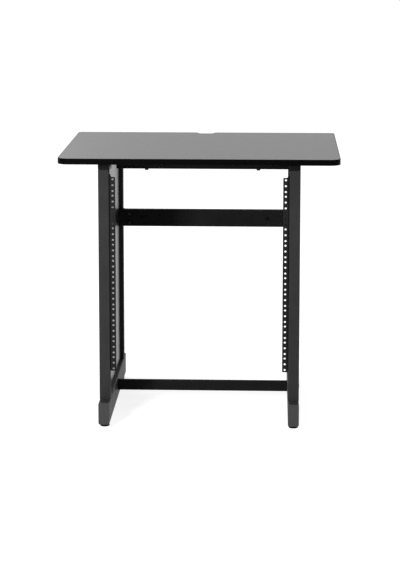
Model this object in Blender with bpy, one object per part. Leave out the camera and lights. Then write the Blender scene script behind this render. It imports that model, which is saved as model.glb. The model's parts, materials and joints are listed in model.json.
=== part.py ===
"""Studio rack table: a laminated top on two side frames, with rack rails for 12 units.

Units are metres. +X is the right hand side seen from the front, -Y faces the user and +Z is up.
The origin is on the floor, under the middle of the table top.
"""

import math

import bmesh
import bpy
from mathutils import Matrix, Vector

MM = 0.001
GAP = 0.3 * MM
SLIVER = 0.02 * MM
TOUCH = 0.01 * MM

# Overall size
TOP_WIDTH = 755 * MM
TOP_DEPTH = 600 * MM
TABLE_HEIGHT = 740 * MM

# Table top
TOP_THICKNESS = 16 * MM
FRONT_CORNER_RADIUS = 30 * MM
REAR_CORNER_RADIUS = 10 * MM
EDGE_BAND_THICKNESS = 2 * MM
EDGE_BAND_ROUNDING = 1.2 * MM
NOTCH_MOUTH = 54 * MM
NOTCH_FLOOR = 37 * MM
NOTCH_DEPTH = 24 * MM
NOTCH_MOUTH_RADIUS = 12 * MM
NOTCH_FLOOR_RADIUS = 10 * MM

# Rack standard
RACK_UNITS = 12
RACK_UNIT = 44.45 * MM
RACK_HOLES_IN_A_UNIT = (6.35 * MM, 22.225 * MM, 38.1 * MM)
RACK_HOLE_SPACING = 465.12 * MM
RACK_OPENING = 450.85 * MM
RACK_HOLE_DIAMETER = 5.5 * MM

# Side frames
FRAME_WIDTH = 544 * MM
FRAME_DEPTH = 504 * MM
MEMBER = 30 * MM
TUBE_WALL = 1.5 * MM
TUBE_CORNER = 3.5 * MM
TOP_BEAM_HEIGHT = 20 * MM
FOOT_HEIGHT = 60 * MM
FOOT_LENGTH = 592 * MM
FLOOR_CLEARANCE = 11 * MM
END_CAP_FLANGE = 4 * MM
END_CAP_PLUG = 14 * MM
END_CAP_PLUG_WALL = 1.1 * MM
END_CAP_CLEARANCE = 0.4 * MM
END_CAP_ROUNDING = 1.5 * MM
FOOT_CAP_LOWER_CORNER = 4.5 * MM

# Side panels
PANEL_RECESS = 11 * MM
PANEL_SHEET = 1.2 * MM
PANEL_HEM = 13 * MM
PANEL_BEND = 2.5 * MM
PANEL_EDGE_ROUNDING = 2 * MM

# Crossbars
TOP_CROSSBAR_DEPTH = 25 * MM
TOP_CROSSBAR_HEIGHT = 50 * MM
MID_CROSSBAR_DEPTH = 22 * MM
MID_CROSSBAR_HEIGHT = 50 * MM
MID_CROSSBAR_BOTTOM = 474 * MM
LOW_CROSSBAR_DEPTH = 15 * MM
LOW_CROSSBAR_HEIGHT = 30 * MM
LOW_CROSSBAR_BOTTOM = 34 * MM
END_PLATE = 4 * MM
TOP_CROSSBAR_BOLT_X = 157 * MM
MID_CROSSBAR_BOLT_X = 222 * MM
MID_CROSSBAR_BOLT_PITCH = 26 * MM
MID_CROSSBAR_PLUG_X = 182 * MM
PLUG_STEM_DIAMETER = 7 * MM
PLUG_STEM_LENGTH = 6 * MM
PLUG_HEAD = (11 * MM, 1.5 * MM)
BRACKET_LEG = 30 * MM
BRACKET_SIDE_LEG = 28 * MM
BRACKET_SHEET = 3 * MM
BRACKET_HEIGHT = 42 * MM
BRACKET_BEND = 2 * MM
BRACKET_NUT_ACROSS = 10 * MM
BRACKET_NUT_HEIGHT = 5 * MM

# Rack rails
RAIL_BOTTOM = 151 * MM
RAIL_SHEET = 2 * MM
RAIL_BEND = 4.5 * MM
RAIL_SIDE_DEPTH = 28 * MM
RAIL_RELIEF = 4.5 * MM
RAIL_FREE_CORNER = 3 * MM
RAIL_SCREW_SETBACK = 16 * MM
RAIL_SCREW_LOWEST = 44 * MM
RAIL_SCREWS = 5
RAIL_TRIM = 10 * MM

# Levelling feet
LEVELLER_SETBACK = 34 * MM
LEVELLER_BASE_DIAMETER = 26 * MM
LEVELLER_BASE_HEIGHT = 8 * MM
LEVELLER_BASE_CHAMFER = (2 * MM, 1.2 * MM)
LEVELLER_BASE_RIM = 4 * MM
LEVELLER_BASE_SHOULDER = (2.5 * MM, 1 * MM)
LEVELLER_BASE_CROWN = 4.5 * MM
LEVELLER_COLLAR_HEIGHT = 2.4 * MM
LEVELLER_COLLAR_ACROSS = 13 * MM
LEVELLER_STEM_DIAMETER = 8 * MM
LEVELLER_STEM_LENGTH = 42 * MM
LEVELLER_STEM_CHAMFER = 1 * MM
LEVELLER_STEM_BITE = 1 * MM
LEVELLER_PIN_DIAMETER = 5.5 * MM
LEVELLER_PIN_LENGTH = 5 * MM
WELD_NUT_ACROSS = 14 * MM
WELD_NUT_HEIGHT = 7 * MM

# Fasteners, with the diameter and height of each head
M4_WOOD_SCREW = 4.2 * MM
M5 = 5 * MM
M6 = 6 * MM
TABLETOP_BOLT_HEAD = (11 * MM, 4.5 * MM)
FRAME_BOLT_HEAD = (13 * MM, 4 * MM)
MID_BOLT_HEAD = (10 * MM, 3.5 * MM)
WOOD_SCREW_HEAD = (9 * MM, 2.5 * MM)
BRACKET_SCREW_HEAD = (9 * MM, 2.6 * MM)
RAIL_SCREW_HEAD = (11 * MM, 3 * MM)
HEAD_DOME_SHARE = 0.45
HEAD_CROWN_SHARE = 0.34
HOLE_CLEARANCE = 0.8 * MM
SCREW_BITE = 11 * MM
BOLT_BITE = 8 * MM
SHEET_SCREW_BITE = 12 * MM
SCREW_SEAT = 0.2 * MM
TOP_SCREW_Y = (-205 * MM, -70 * MM, 70 * MM, 205 * MM)

# How far a cutter stands out of what it cuts, and how far it reaches into a tube
CUT_MARGIN = 2 * MM
CUT_REACH = 4 * MM

# Facets
CORNER_STEPS = 2
NOTCH_STEPS = 5
LARGE_CORNER_STEPS = 8
HOLE_STEPS = 10
SCREW_STEPS = 8
LEVELLER_STEPS = 16
STEM_STEPS = 12

# Sizes that follow
TOP_UNDERSIDE = TABLE_HEIGHT - TOP_THICKNESS
TOP_BEAM_BOTTOM = TOP_UNDERSIDE - TOP_BEAM_HEIGHT
FOOT_TOP = FLOOR_CLEARANCE + FOOT_HEIGHT
FRAME_OUTSIDE = FRAME_WIDTH / 2
FRAME_INSIDE = FRAME_OUTSIDE - MEMBER
FRAME_MIDDLE = FRAME_OUTSIDE - MEMBER / 2
COLUMN_Y = FRAME_DEPTH / 2 - MEMBER / 2
PANEL_INSIDE = FRAME_INSIDE + PANEL_RECESS
RAIL_HEIGHT = RACK_UNITS * RACK_UNIT
RAIL_TOP = RAIL_BOTTOM + RAIL_HEIGHT
FRAME_FRONT = -FRAME_DEPTH / 2
REAR_COLUMN_FRONT = FRAME_DEPTH / 2 - MEMBER
RAIL_OUTSIDE = FRAME_INSIDE - GAP
RAIL_SCREW_Y = FRAME_FRONT + RAIL_SCREW_SETBACK
MID_CROSSBAR_MIDDLE = MID_CROSSBAR_BOTTOM + MID_CROSSBAR_HEIGHT / 2
MID_CROSSBAR_REAR = REAR_COLUMN_FRONT - GAP
MID_CROSSBAR_FRONT = MID_CROSSBAR_REAR - MID_CROSSBAR_DEPTH
LOW_CROSSBAR_MIDDLE = LOW_CROSSBAR_BOTTOM + LOW_CROSSBAR_HEIGHT / 2
LEVELLER_Y = FOOT_LENGTH / 2 - LEVELLER_SETBACK
TOP_SCREW_X = FRAME_INSIDE + PANEL_RECESS / 2

SIDES = {"left": -1, "right": 1}
ENDS = {"front": -1, "rear": 1}

AXES = {
    "X": Matrix(((0, 0, 1, 0), (1, 0, 0, 0), (0, 1, 0, 0), (0, 0, 0, 1))),
    "Y": Matrix(((1, 0, 0, 0), (0, 0, 1, 0), (0, 1, 0, 0), (0, 0, 0, 1))),
    "Z": Matrix.Identity(4),
}


# Materials


def make_material(name, colour, roughness, metallic=0.0):
    """Return a Principled material of one colour."""
    material = bpy.data.materials.new(name)
    material.use_nodes = True
    shader = material.node_tree.nodes["Principled BSDF"]
    shader.inputs["Base Color"].default_value = (*colour, 1.0)
    shader.inputs["Roughness"].default_value = roughness
    shader.inputs["Metallic"].default_value = metallic
    material.diffuse_color = (*colour, 1.0)
    return material


def make_materials():
    """Return every finish of the table by its name."""
    return {
        "laminate": make_material("black_laminate", (0.018, 0.018, 0.019), 0.32),
        "edge_band": make_material("black_edge_band", (0.010, 0.010, 0.011), 0.38),
        "powder_coat": make_material("black_powder_coat", (0.022, 0.022, 0.023), 0.45),
        "matt_coat": make_material("matt_black_coat", (0.008, 0.008, 0.008), 0.50),
        "panel_coat": make_material("smooth_panel_coat", (0.030, 0.030, 0.031), 0.30),
        "rail_coat": make_material("black_rail_coat", (0.020, 0.020, 0.021), 0.40),
        "cap_plastic": make_material("dark_cap_plastic", (0.030, 0.030, 0.031), 0.50),
        "glide_plastic": make_material("black_glide_plastic", (0.008, 0.008, 0.008), 0.55),
        "zinc_steel": make_material("zinc_plated_steel", (0.55, 0.56, 0.57), 0.35, 1.0),
        "black_steel": make_material("blackened_steel", (0.030, 0.030, 0.032), 0.40, 1.0),
    }


# Outlines


def rectangle(width, height, centre=(0.0, 0.0)):
    """Return the four corners of a rectangle, anticlockwise."""
    u, v = centre
    return [
        (u - width / 2, v - height / 2),
        (u + width / 2, v - height / 2),
        (u + width / 2, v + height / 2),
        (u - width / 2, v + height / 2),
    ]


def circle(radius, centre=(0.0, 0.0), steps=HOLE_STEPS):
    """Return a regular outline whose corners lie on a circle."""
    u, v = centre
    turns = [2 * math.pi * (step + 0.5) / steps for step in range(steps)]
    return [(u + radius * math.cos(turn), v + radius * math.sin(turn)) for turn in turns]


def hexagon(across, centre=(0.0, 0.0)):
    """Return a hexagon of a given size across its flats."""
    return circle(across / math.sqrt(3), centre, 6)


def moved_inwards(corners, distance):
    """Return the corners of an anticlockwise outline after each side moves inwards."""
    points = [Vector(corner) for corner in corners]
    moved = []
    for index, point in enumerate(points):
        before = (point - points[index - 1]).normalized()
        after = (points[(index + 1) % len(points)] - point).normalized()
        inward_before = Vector((-before.y, before.x))
        inward_after = Vector((-after.y, after.x))
        shift = (inward_before + inward_after) / (1 + inward_before.dot(inward_after))
        moved.append(tuple(point + distance * shift))
    return moved


def rounded(corners, radii, steps=CORNER_STEPS):
    """Return an anticlockwise outline whose corners are arcs; radii and steps may differ by corner."""
    points = [Vector(corner) for corner in corners]
    outline = []
    for index, point in enumerate(points):
        radius = radii[index] if isinstance(radii, (list, tuple)) else radii
        arc_steps = steps[index] if isinstance(steps, (list, tuple)) else steps
        if radius <= 0:
            outline.append(tuple(point))
            continue
        before = (points[index - 1] - point).normalized()
        after = (points[(index + 1) % len(points)] - point).normalized()
        half_angle = before.angle(after) / 2
        centre = point + (before + after).normalized() * (radius / math.sin(half_angle))
        start = point + before * (radius / math.tan(half_angle)) - centre
        end = point + after * (radius / math.tan(half_angle)) - centre
        sweep = math.atan2(start.x * end.y - start.y * end.x, start.dot(end))
        for step in range(arc_steps + 1):
            turn = sweep * step / arc_steps
            u = start.x * math.cos(turn) - start.y * math.sin(turn)
            v = start.x * math.sin(turn) + start.y * math.cos(turn)
            outline.append((centre.x + u, centre.y + v))
    return outline


# Meshes


def add_prism(mesh, outline, axis, start, end, bore=None):
    """Extrude an outline along an axis, or the flat ring between it and its bore."""
    place = AXES[axis]

    def add_loop(points):
        verts = [mesh.verts.new(place @ Vector((u, v, start))) for u, v in points]
        edges = [mesh.edges.new((verts[i - 1], verts[i])) for i in range(len(verts))]
        return verts, edges

    outer_verts, outer_edges = add_loop(outline)
    if bore is None:
        faces = [mesh.faces.new(outer_verts)]
    else:
        bore_edges = add_loop(bore)[1]
        faces = bmesh.ops.bridge_loops(mesh, edges=outer_edges + bore_edges)["faces"]
    swept = bmesh.ops.extrude_face_region(mesh, geom=faces)["geom"]
    moved = [part for part in swept if isinstance(part, bmesh.types.BMVert)]
    travel = place.to_3x3() @ Vector((0, 0, end - start))
    bmesh.ops.translate(mesh, verts=moved, vec=travel)


def add_turned(mesh, profile, origin, direction, steps=SCREW_STEPS):
    """Turn a profile of (radius, height) points about an axis; it starts and ends on the axis."""
    turned = bmesh.new()
    verts = [turned.verts.new((radius, 0, height)) for radius, height in profile]
    edges = [turned.edges.new(pair) for pair in zip(verts, verts[1:])]
    bmesh.ops.spin(
        turned,
        geom=verts + edges,
        cent=(0, 0, 0),
        axis=(0, 0, 1),
        angle=2 * math.pi,
        steps=steps,
        use_merge=True,
    )
    bmesh.ops.remove_doubles(turned, verts=turned.verts, dist=TOUCH)
    bmesh.ops.recalc_face_normals(turned, faces=turned.faces)
    turn = Vector((0, 0, 1)).rotation_difference(Vector(direction)).to_matrix().to_4x4()
    bmesh.ops.transform(turned, matrix=Matrix.Translation(origin) @ turn, verts=turned.verts)
    copy = bpy.data.meshes.new("turned")
    turned.to_mesh(copy)
    turned.free()
    mesh.from_mesh(copy)
    bpy.data.meshes.remove(copy)


def add_object(name, mesh, material=None, sharp_angle=40):
    """Close a mesh, face it outwards and put it in the scene."""
    bmesh.ops.recalc_face_normals(mesh, faces=mesh.faces)
    data = bpy.data.meshes.new(name)
    mesh.to_mesh(data)
    mesh.free()
    data.shade_smooth()
    data.set_sharp_from_angle(angle=math.radians(sharp_angle))
    thing = bpy.data.objects.new(name, data)
    bpy.context.collection.objects.link(thing)
    if material is not None:
        data.materials.append(material)
    return thing


def with_boolean(thing, tool_mesh, operation="DIFFERENCE"):
    """Cut a body with a tool, keep the result and throw the tool away."""
    tool = add_object(thing.name + "_tool", tool_mesh)
    modifier = thing.modifiers.new("cut", "BOOLEAN")
    modifier.operation = operation
    modifier.solver = "EXACT"
    modifier.object = tool
    graph = bpy.context.evaluated_depsgraph_get()
    result = bpy.data.meshes.new_from_object(thing.evaluated_get(graph))
    thing.modifiers.clear()
    thing.data = result
    result.name = thing.name
    mesh = bmesh.new()
    mesh.from_mesh(result)
    bmesh.ops.remove_doubles(mesh, verts=mesh.verts, dist=SLIVER)
    mesh.to_mesh(result)
    mesh.free()
    tool_data = tool.data
    bpy.data.objects.remove(tool)
    bpy.data.meshes.remove(tool_data)


def rounded_tube(mesh, width, height, centre, axis, start, end):
    """Add a hollow tube with round corners along an axis."""
    corners = rectangle(width, height, centre)
    outline = rounded(corners, TUBE_CORNER)
    bore = rounded(moved_inwards(corners, TUBE_WALL), TUBE_CORNER - TUBE_WALL)
    add_prism(mesh, outline, axis, start, end, bore)


def add_holes(tool, diameter, axis, places, start, end, steps=HOLE_STEPS):
    """Add round cutters at several places in the plane across an axis."""
    for place in places:
        add_prism(tool, circle(diameter / 2, place, steps), axis, start, end)


def screw_profile(diameter, length, head):
    """Return a shank and a domed head whose underside is at height 0; the shank hangs below it."""
    head_diameter, head_height = head
    dome = head_height * HEAD_DOME_SHARE
    return [
        (0, -length),
        (diameter / 2, -length),
        (diameter / 2, 0),
        (head_diameter / 2, 0),
        (head_diameter / 2, head_height - dome),
        (head_diameter * HEAD_CROWN_SHARE, head_height),
        (0, head_height),
    ]


def add_screw(name, material, profile, place, direction):
    """Add a screw as an object of its own; the direction leads from shank to head."""
    mesh = bmesh.new()
    add_turned(mesh, profile, place, direction)
    add_object(name, mesh, material)


def fix_screws(thing, profile, places, direction):
    """Join small screws to the piece that they hold, their heads just biting into it."""
    mesh = bmesh.new()
    for place in places:
        add_turned(mesh, profile, place, direction)
    with_boolean(thing, mesh, "UNION")


# Table top


def top_corners():
    """Return the table top's sharp corners and radii, anticlockwise from the front left."""
    side = TOP_WIDTH / 2
    edge = TOP_DEPTH / 2
    corners = [
        (-side, -edge),
        (side, -edge),
        (side, edge),
        (NOTCH_MOUTH / 2, edge),
        (NOTCH_FLOOR / 2, edge - NOTCH_DEPTH),
        (-NOTCH_FLOOR / 2, edge - NOTCH_DEPTH),
        (-NOTCH_MOUTH / 2, edge),
        (-side, edge),
    ]
    radii = [
        FRONT_CORNER_RADIUS,
        FRONT_CORNER_RADIUS,
        REAR_CORNER_RADIUS,
        NOTCH_MOUTH_RADIUS,
        -NOTCH_FLOOR_RADIUS,
        -NOTCH_FLOOR_RADIUS,
        NOTCH_MOUTH_RADIUS,
        REAR_CORNER_RADIUS,
    ]
    return corners, radii


def top_outline(inset):
    """Return the outline of the table top, a distance inside its outer edge."""
    corners, radii = top_corners()
    radii = [abs(radius - inset) for radius in radii]
    steps = [LARGE_CORNER_STEPS] * 2 + [NOTCH_STEPS] * 6
    return rounded(moved_inwards(corners, inset), radii, steps)


def crossbar_bolt_places():
    """Return where the bolts pass up through the top crossbar."""
    return [(side * TOP_CROSSBAR_BOLT_X, 0.0) for side in SIDES.values()]


def top_screw_places():
    """Return where the screws pass up through the top beams."""
    return [(side * TOP_SCREW_X, y) for side in SIDES.values() for y in TOP_SCREW_Y]


def build_table_top(materials):
    """Build the board, its edge band and the screws that hold it down."""
    board = bmesh.new()
    board_outline = top_outline(EDGE_BAND_THICKNESS + GAP)
    add_prism(board, board_outline, "Z", TOP_UNDERSIDE, TABLE_HEIGHT)
    board = add_object("tabletop_board", board, materials["laminate"])
    tool = bmesh.new()
    pilot_top = TOP_UNDERSIDE + SCREW_BITE + GAP
    pilot_bottom = TOP_UNDERSIDE - CUT_MARGIN
    add_holes(tool, M6 + HOLE_CLEARANCE, "Z", crossbar_bolt_places(), pilot_bottom, pilot_top)
    add_holes(tool, M5 + HOLE_CLEARANCE, "Z", top_screw_places(), pilot_bottom, pilot_top)
    with_boolean(board, tool)

    band = bmesh.new()
    add_prism(band, top_outline(0), "Z", TOP_UNDERSIDE, TABLE_HEIGHT, top_outline(EDGE_BAND_THICKNESS))
    band = add_object("tabletop_edge_band", band, materials["edge_band"])
    round_rim(band, top_outline(0), EDGE_BAND_ROUNDING)

    for side_name, side in SIDES.items():
        add_screw(
            f"{side_name}_tabletop_bolt",
            materials["black_steel"],
            screw_profile(M6, TOP_CROSSBAR_HEIGHT + SCREW_BITE, TABLETOP_BOLT_HEAD),
            (side * TOP_CROSSBAR_BOLT_X, 0, TOP_UNDERSIDE - TOP_CROSSBAR_HEIGHT - 2 * GAP),
            (0, 0, -1),
        )


def round_rim(thing, outline, width):
    """Round the upper and lower edges that lie on an outline."""
    places = {(round(u, 5), round(v, 5)) for u, v in outline}
    mesh = bmesh.new()
    mesh.from_mesh(thing.data)
    edges = []
    for edge in mesh.edges:
        level = abs(edge.verts[0].co.z - edge.verts[1].co.z) < GAP
        on_outline = all((round(v.co.x, 5), round(v.co.y, 5)) in places for v in edge.verts)
        if level and on_outline:
            edges.append(edge)
    bmesh.ops.bevel(mesh, geom=edges, offset=width, segments=2, profile=0.5, affect="EDGES")
    bmesh.ops.recalc_face_normals(mesh, faces=mesh.faces)
    mesh.to_mesh(thing.data)
    mesh.free()


# Side frames


def build_columns(side_name, side, materials):
    """Build the front and rear column of one side frame, with their screw holes."""
    bottom = FOOT_TOP + GAP
    top = TOP_BEAM_BOTTOM - 2 * GAP
    for end_name, end in ENDS.items():
        mesh = bmesh.new()
        rounded_tube(mesh, MEMBER, MEMBER, (side * FRAME_MIDDLE, end * COLUMN_Y), "Z", bottom, top)
        column = add_object(f"{side_name}_{end_name}_column", mesh, materials["powder_coat"])
        tool = bmesh.new()
        inner_wall = sorted((side * (FRAME_INSIDE - CUT_MARGIN), side * (FRAME_INSIDE + CUT_REACH)))
        if end_name == "front":
            add_holes(tool, M6 + HOLE_CLEARANCE, "X", rail_screw_places(), *inner_wall)
        else:
            add_holes(tool, M5 + HOLE_CLEARANCE, "X", bracket_screw_places(), *inner_wall)
        with_boolean(column, tool)


def build_beams(side_name, side, materials):
    """Build the top beam and the foot beam of one side frame."""
    reach = FRAME_DEPTH / 2 - END_CAP_FLANGE - GAP
    mesh = bmesh.new()
    middle = (side * FRAME_MIDDLE, TOP_UNDERSIDE - TOP_BEAM_HEIGHT / 2 - GAP)
    rounded_tube(mesh, MEMBER, TOP_BEAM_HEIGHT, middle, "Y", -reach, reach)
    top_beam = add_object(f"{side_name}_top_beam", mesh, materials["powder_coat"])
    tool = bmesh.new()
    across = sorted((side * (FRAME_INSIDE - CUT_MARGIN), side * (FRAME_OUTSIDE + CUT_MARGIN)))
    add_holes(tool, M6 + HOLE_CLEARANCE, "X", [(0.0, top_side_bolt_height())], *across)
    with_boolean(top_beam, tool)
    fix_screws(
        top_beam,
        screw_profile(M4_WOOD_SCREW, TOP_BEAM_HEIGHT + SCREW_BITE - GAP, WOOD_SCREW_HEAD),
        [(side * TOP_SCREW_X, y, TOP_BEAM_BOTTOM - GAP + SCREW_SEAT) for y in TOP_SCREW_Y],
        (0, 0, -1),
    )

    reach = FOOT_LENGTH / 2 - END_CAP_FLANGE - GAP
    mesh = bmesh.new()
    middle = (side * FRAME_MIDDLE, FLOOR_CLEARANCE + FOOT_HEIGHT / 2)
    rounded_tube(mesh, MEMBER, FOOT_HEIGHT, middle, "Y", -reach, reach)
    foot = add_object(f"{side_name}_foot_beam", mesh, materials["powder_coat"])
    tool = bmesh.new()
    places = [(side * FRAME_MIDDLE, end * LEVELLER_Y) for end in ENDS.values()]
    lower_wall = (FLOOR_CLEARANCE - CUT_MARGIN, FLOOR_CLEARANCE + CUT_REACH)
    add_holes(tool, LEVELLER_STEM_DIAMETER + 2 * HOLE_CLEARANCE, "Z", places, *lower_wall, STEM_STEPS)
    add_holes(tool, M6 + HOLE_CLEARANCE, "X", [(0.0, LOW_CROSSBAR_MIDDLE)], *across)
    with_boolean(foot, tool)


def end_cap(name, side, end, height, bottom, reach, lower_corner, material):
    """Build a cap: a rounded flange over the tube's end and a hollow plug inside it."""
    middle = (side * FRAME_MIDDLE, bottom + height / 2)
    corners = rectangle(MEMBER, height, middle)
    radii = [lower_corner, lower_corner, TUBE_CORNER, TUBE_CORNER]
    outline = rounded(corners, radii)
    face = end * reach
    back = end * (reach - END_CAP_FLANGE)
    mesh = bmesh.new()
    add_prism(mesh, outline, "Y", back, face)
    rim = [edge for edge in mesh.edges if all(abs(v.co.y - face) < GAP for v in edge.verts)]
    bmesh.ops.bevel(
        mesh, geom=rim, offset=END_CAP_ROUNDING, segments=2, profile=0.5, affect="EDGES"
    )
    seat = [f for f in mesh.faces if all(abs(v.co.y - back) < GAP for v in f.verts)]
    inset = TUBE_WALL + END_CAP_CLEARANCE
    bmesh.ops.inset_region(mesh, faces=seat, thickness=inset, use_even_offset=True)
    swept = bmesh.ops.extrude_face_region(mesh, geom=seat)["geom"]
    moved = [part for part in swept if isinstance(part, bmesh.types.BMVert)]
    bmesh.ops.translate(mesh, verts=moved, vec=(0, -end * END_CAP_PLUG, 0))
    bmesh.ops.delete(mesh, geom=seat, context="FACES_ONLY")
    tip = [f for f in swept if isinstance(f, bmesh.types.BMFace)]
    bmesh.ops.inset_region(mesh, faces=tip, thickness=END_CAP_PLUG_WALL, use_even_offset=True)
    pocket = bmesh.ops.extrude_face_region(mesh, geom=tip)["geom"]
    moved = [part for part in pocket if isinstance(part, bmesh.types.BMVert)]
    bmesh.ops.translate(mesh, verts=moved, vec=(0, end * END_CAP_PLUG, 0))
    bmesh.ops.delete(mesh, geom=tip, context="FACES_ONLY")
    add_object(name, mesh, material)


def build_end_caps(side_name, side, materials):
    """Build the four plastic caps of one side frame."""
    for end_name, end in ENDS.items():
        end_cap(
            f"{side_name}_{end_name}_foot_cap",
            side,
            end,
            FOOT_HEIGHT,
            FLOOR_CLEARANCE,
            FOOT_LENGTH / 2,
            FOOT_CAP_LOWER_CORNER,
            materials["cap_plastic"],
        )
        end_cap(
            f"{side_name}_{end_name}_beam_cap",
            side,
            end,
            TOP_BEAM_HEIGHT,
            TOP_BEAM_BOTTOM - GAP,
            FRAME_DEPTH / 2,
            TUBE_CORNER,
            materials["glide_plastic"],
        )


def build_side_panel(side_name, side, materials):
    """Build a folded sheet panel that stands in the frame, its hems against the tubes."""
    front = FRAME_FRONT + MEMBER + GAP
    rear = REAR_COLUMN_FRONT - GAP
    bottom = FOOT_TOP + GAP
    top = TOP_BEAM_BOTTOM - 2 * GAP
    inside = PANEL_INSIDE
    outside = PANEL_INSIDE + PANEL_HEM
    corners = rectangle(rear - front, top - bottom, ((front + rear) / 2, (bottom + top) / 2))
    outline = rounded(corners, PANEL_BEND)
    mesh = bmesh.new()
    add_prism(mesh, outline, "X", side * inside, side * outside)
    web_rim = [e for e in mesh.edges if all(abs(v.co.x - side * inside) < GAP for v in e.verts)]
    bmesh.ops.bevel(
        mesh, geom=web_rim, offset=PANEL_EDGE_ROUNDING, segments=2, profile=0.5, affect="EDGES"
    )
    mouth = [f for f in mesh.faces if all(abs(v.co.x - side * outside) < GAP for v in f.verts)]
    bmesh.ops.delete(mesh, geom=mouth, context="FACES_ONLY")
    bmesh.ops.recalc_face_normals(mesh, faces=mesh.faces)
    panel = add_object(f"{side_name}_side_panel", mesh, materials["panel_coat"])
    sheet = panel.modifiers.new("sheet", "SOLIDIFY")
    sheet.thickness = PANEL_SHEET
    sheet.offset = -1
    sheet.use_even_offset = True


# Crossbars


def top_side_bolt_height():
    """Return the height of the bolts between the top beams and the top crossbar."""
    return TOP_UNDERSIDE - TOP_BEAM_HEIGHT / 2 - GAP


def build_bar_ends(bar_name, depth, height, middle_height, bolt_height, materials):
    """Build the plates that close a crossbar's ends, and the bolts that reach them through the frames."""
    corners = moved_inwards(rectangle(depth, height, (0.0, middle_height)), TUBE_WALL + GAP)
    outline = rounded(corners, TUBE_CORNER - TUBE_WALL)
    outer = FRAME_INSIDE - GAP
    bolt = screw_profile(M6, MEMBER + END_PLATE + BOLT_BITE, FRAME_BOLT_HEAD)
    for side_name, side in SIDES.items():
        mesh = bmesh.new()
        add_prism(mesh, outline, "X", side * (outer - END_PLATE), side * outer)
        plate = add_object(f"{side_name}_{bar_name}_end_plate", mesh, materials["matt_coat"])
        tool = bmesh.new()
        across = sorted((side * (outer - 2 * END_PLATE), side * (outer + END_PLATE)))
        add_holes(tool, M6 + HOLE_CLEARANCE, "X", [(0.0, bolt_height)], *across)
        with_boolean(plate, tool)
        place = (side * (FRAME_OUTSIDE + GAP), 0, bolt_height)
        name = f"{side_name}_{bar_name}_bolt"
        add_screw(name, materials["black_steel"], bolt, place, (side, 0, 0))


def build_top_crossbar(materials):
    """Build the bar under the table top and what fastens it."""
    reach = FRAME_INSIDE - GAP
    middle = TOP_UNDERSIDE - GAP - TOP_CROSSBAR_HEIGHT / 2
    mesh = bmesh.new()
    rounded_tube(mesh, TOP_CROSSBAR_DEPTH, TOP_CROSSBAR_HEIGHT, (0.0, middle), "X", -reach, reach)
    bar = add_object("top_crossbar", mesh, materials["matt_coat"])
    tool = bmesh.new()
    bottom = TOP_UNDERSIDE - TOP_CROSSBAR_HEIGHT - CUT_MARGIN
    add_holes(tool, M6 + HOLE_CLEARANCE, "Z", crossbar_bolt_places(), bottom, TOP_UNDERSIDE + CUT_MARGIN)
    with_boolean(bar, tool)
    build_bar_ends(
        "top_crossbar",
        TOP_CROSSBAR_DEPTH,
        TOP_CROSSBAR_HEIGHT,
        middle,
        top_side_bolt_height(),
        materials,
    )


def build_low_crossbar(materials):
    """Build the flat bar between the foot beams and what fastens it."""
    reach = FRAME_INSIDE - GAP
    mesh = bmesh.new()
    middle = (0.0, LOW_CROSSBAR_MIDDLE)
    rounded_tube(mesh, LOW_CROSSBAR_DEPTH, LOW_CROSSBAR_HEIGHT, middle, "X", -reach, reach)
    add_object("low_crossbar", mesh, materials["matt_coat"])
    build_bar_ends(
        "low_crossbar",
        LOW_CROSSBAR_DEPTH,
        LOW_CROSSBAR_HEIGHT,
        LOW_CROSSBAR_MIDDLE,
        LOW_CROSSBAR_MIDDLE,
        materials,
    )


def mid_bolt_heights():
    """Return the heights of the two bolts at each end of the mid crossbar."""
    half = MID_CROSSBAR_BOLT_PITCH / 2
    return (MID_CROSSBAR_MIDDLE - half, MID_CROSSBAR_MIDDLE + half)


def mid_bolt_places():
    """Return where the bolts pass through the mid crossbar, seen from the front."""
    sides = SIDES.values()
    return [(side * MID_CROSSBAR_BOLT_X, z) for side in sides for z in mid_bolt_heights()]


def bracket_screw_places():
    """Return where the screws pass through the brackets into the rear columns."""
    return [(COLUMN_Y, z) for z in mid_bolt_heights()]


def build_mid_crossbar(materials):
    """Build the bar in front of the rear columns, its plugs, bolts and brackets."""
    reach = PANEL_INSIDE - GAP
    middle = (MID_CROSSBAR_REAR - MID_CROSSBAR_DEPTH / 2, MID_CROSSBAR_MIDDLE)
    mesh = bmesh.new()
    rounded_tube(mesh, MID_CROSSBAR_DEPTH, MID_CROSSBAR_HEIGHT, middle, "X", -reach, reach)
    bar = add_object("mid_crossbar", mesh, materials["matt_coat"])
    tool = bmesh.new()
    through = (MID_CROSSBAR_FRONT - CUT_MARGIN, MID_CROSSBAR_REAR + CUT_MARGIN)
    add_holes(tool, M6 + HOLE_CLEARANCE, "Y", mid_bolt_places(), *through)
    plug_places = [(side * MID_CROSSBAR_PLUG_X, MID_CROSSBAR_MIDDLE) for side in SIDES.values()]
    front_wall = (MID_CROSSBAR_FRONT - CUT_MARGIN, MID_CROSSBAR_FRONT + CUT_REACH)
    add_holes(tool, PLUG_STEM_DIAMETER + HOLE_CLEARANCE, "Y", plug_places, *front_wall)
    with_boolean(bar, tool)

    head_y = MID_CROSSBAR_FRONT - GAP
    bolt = screw_profile(M6, MID_CROSSBAR_DEPTH + BRACKET_SHEET + BOLT_BITE, MID_BOLT_HEAD)
    plug = screw_profile(PLUG_STEM_DIAMETER, PLUG_STEM_LENGTH, PLUG_HEAD)
    for side_name, side in SIDES.items():
        for level, z in zip(("lower", "upper"), mid_bolt_heights()):
            name = f"{side_name}_{level}_mid_crossbar_bolt"
            place = (side * MID_CROSSBAR_BOLT_X, head_y, z)
            add_screw(name, materials["black_steel"], bolt, place, (0, -1, 0))
        place = (side * MID_CROSSBAR_PLUG_X, head_y, MID_CROSSBAR_MIDDLE)
        name = f"{side_name}_mid_crossbar_plug"
        add_screw(name, materials["glide_plastic"], plug, place, (0, -1, 0))


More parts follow.
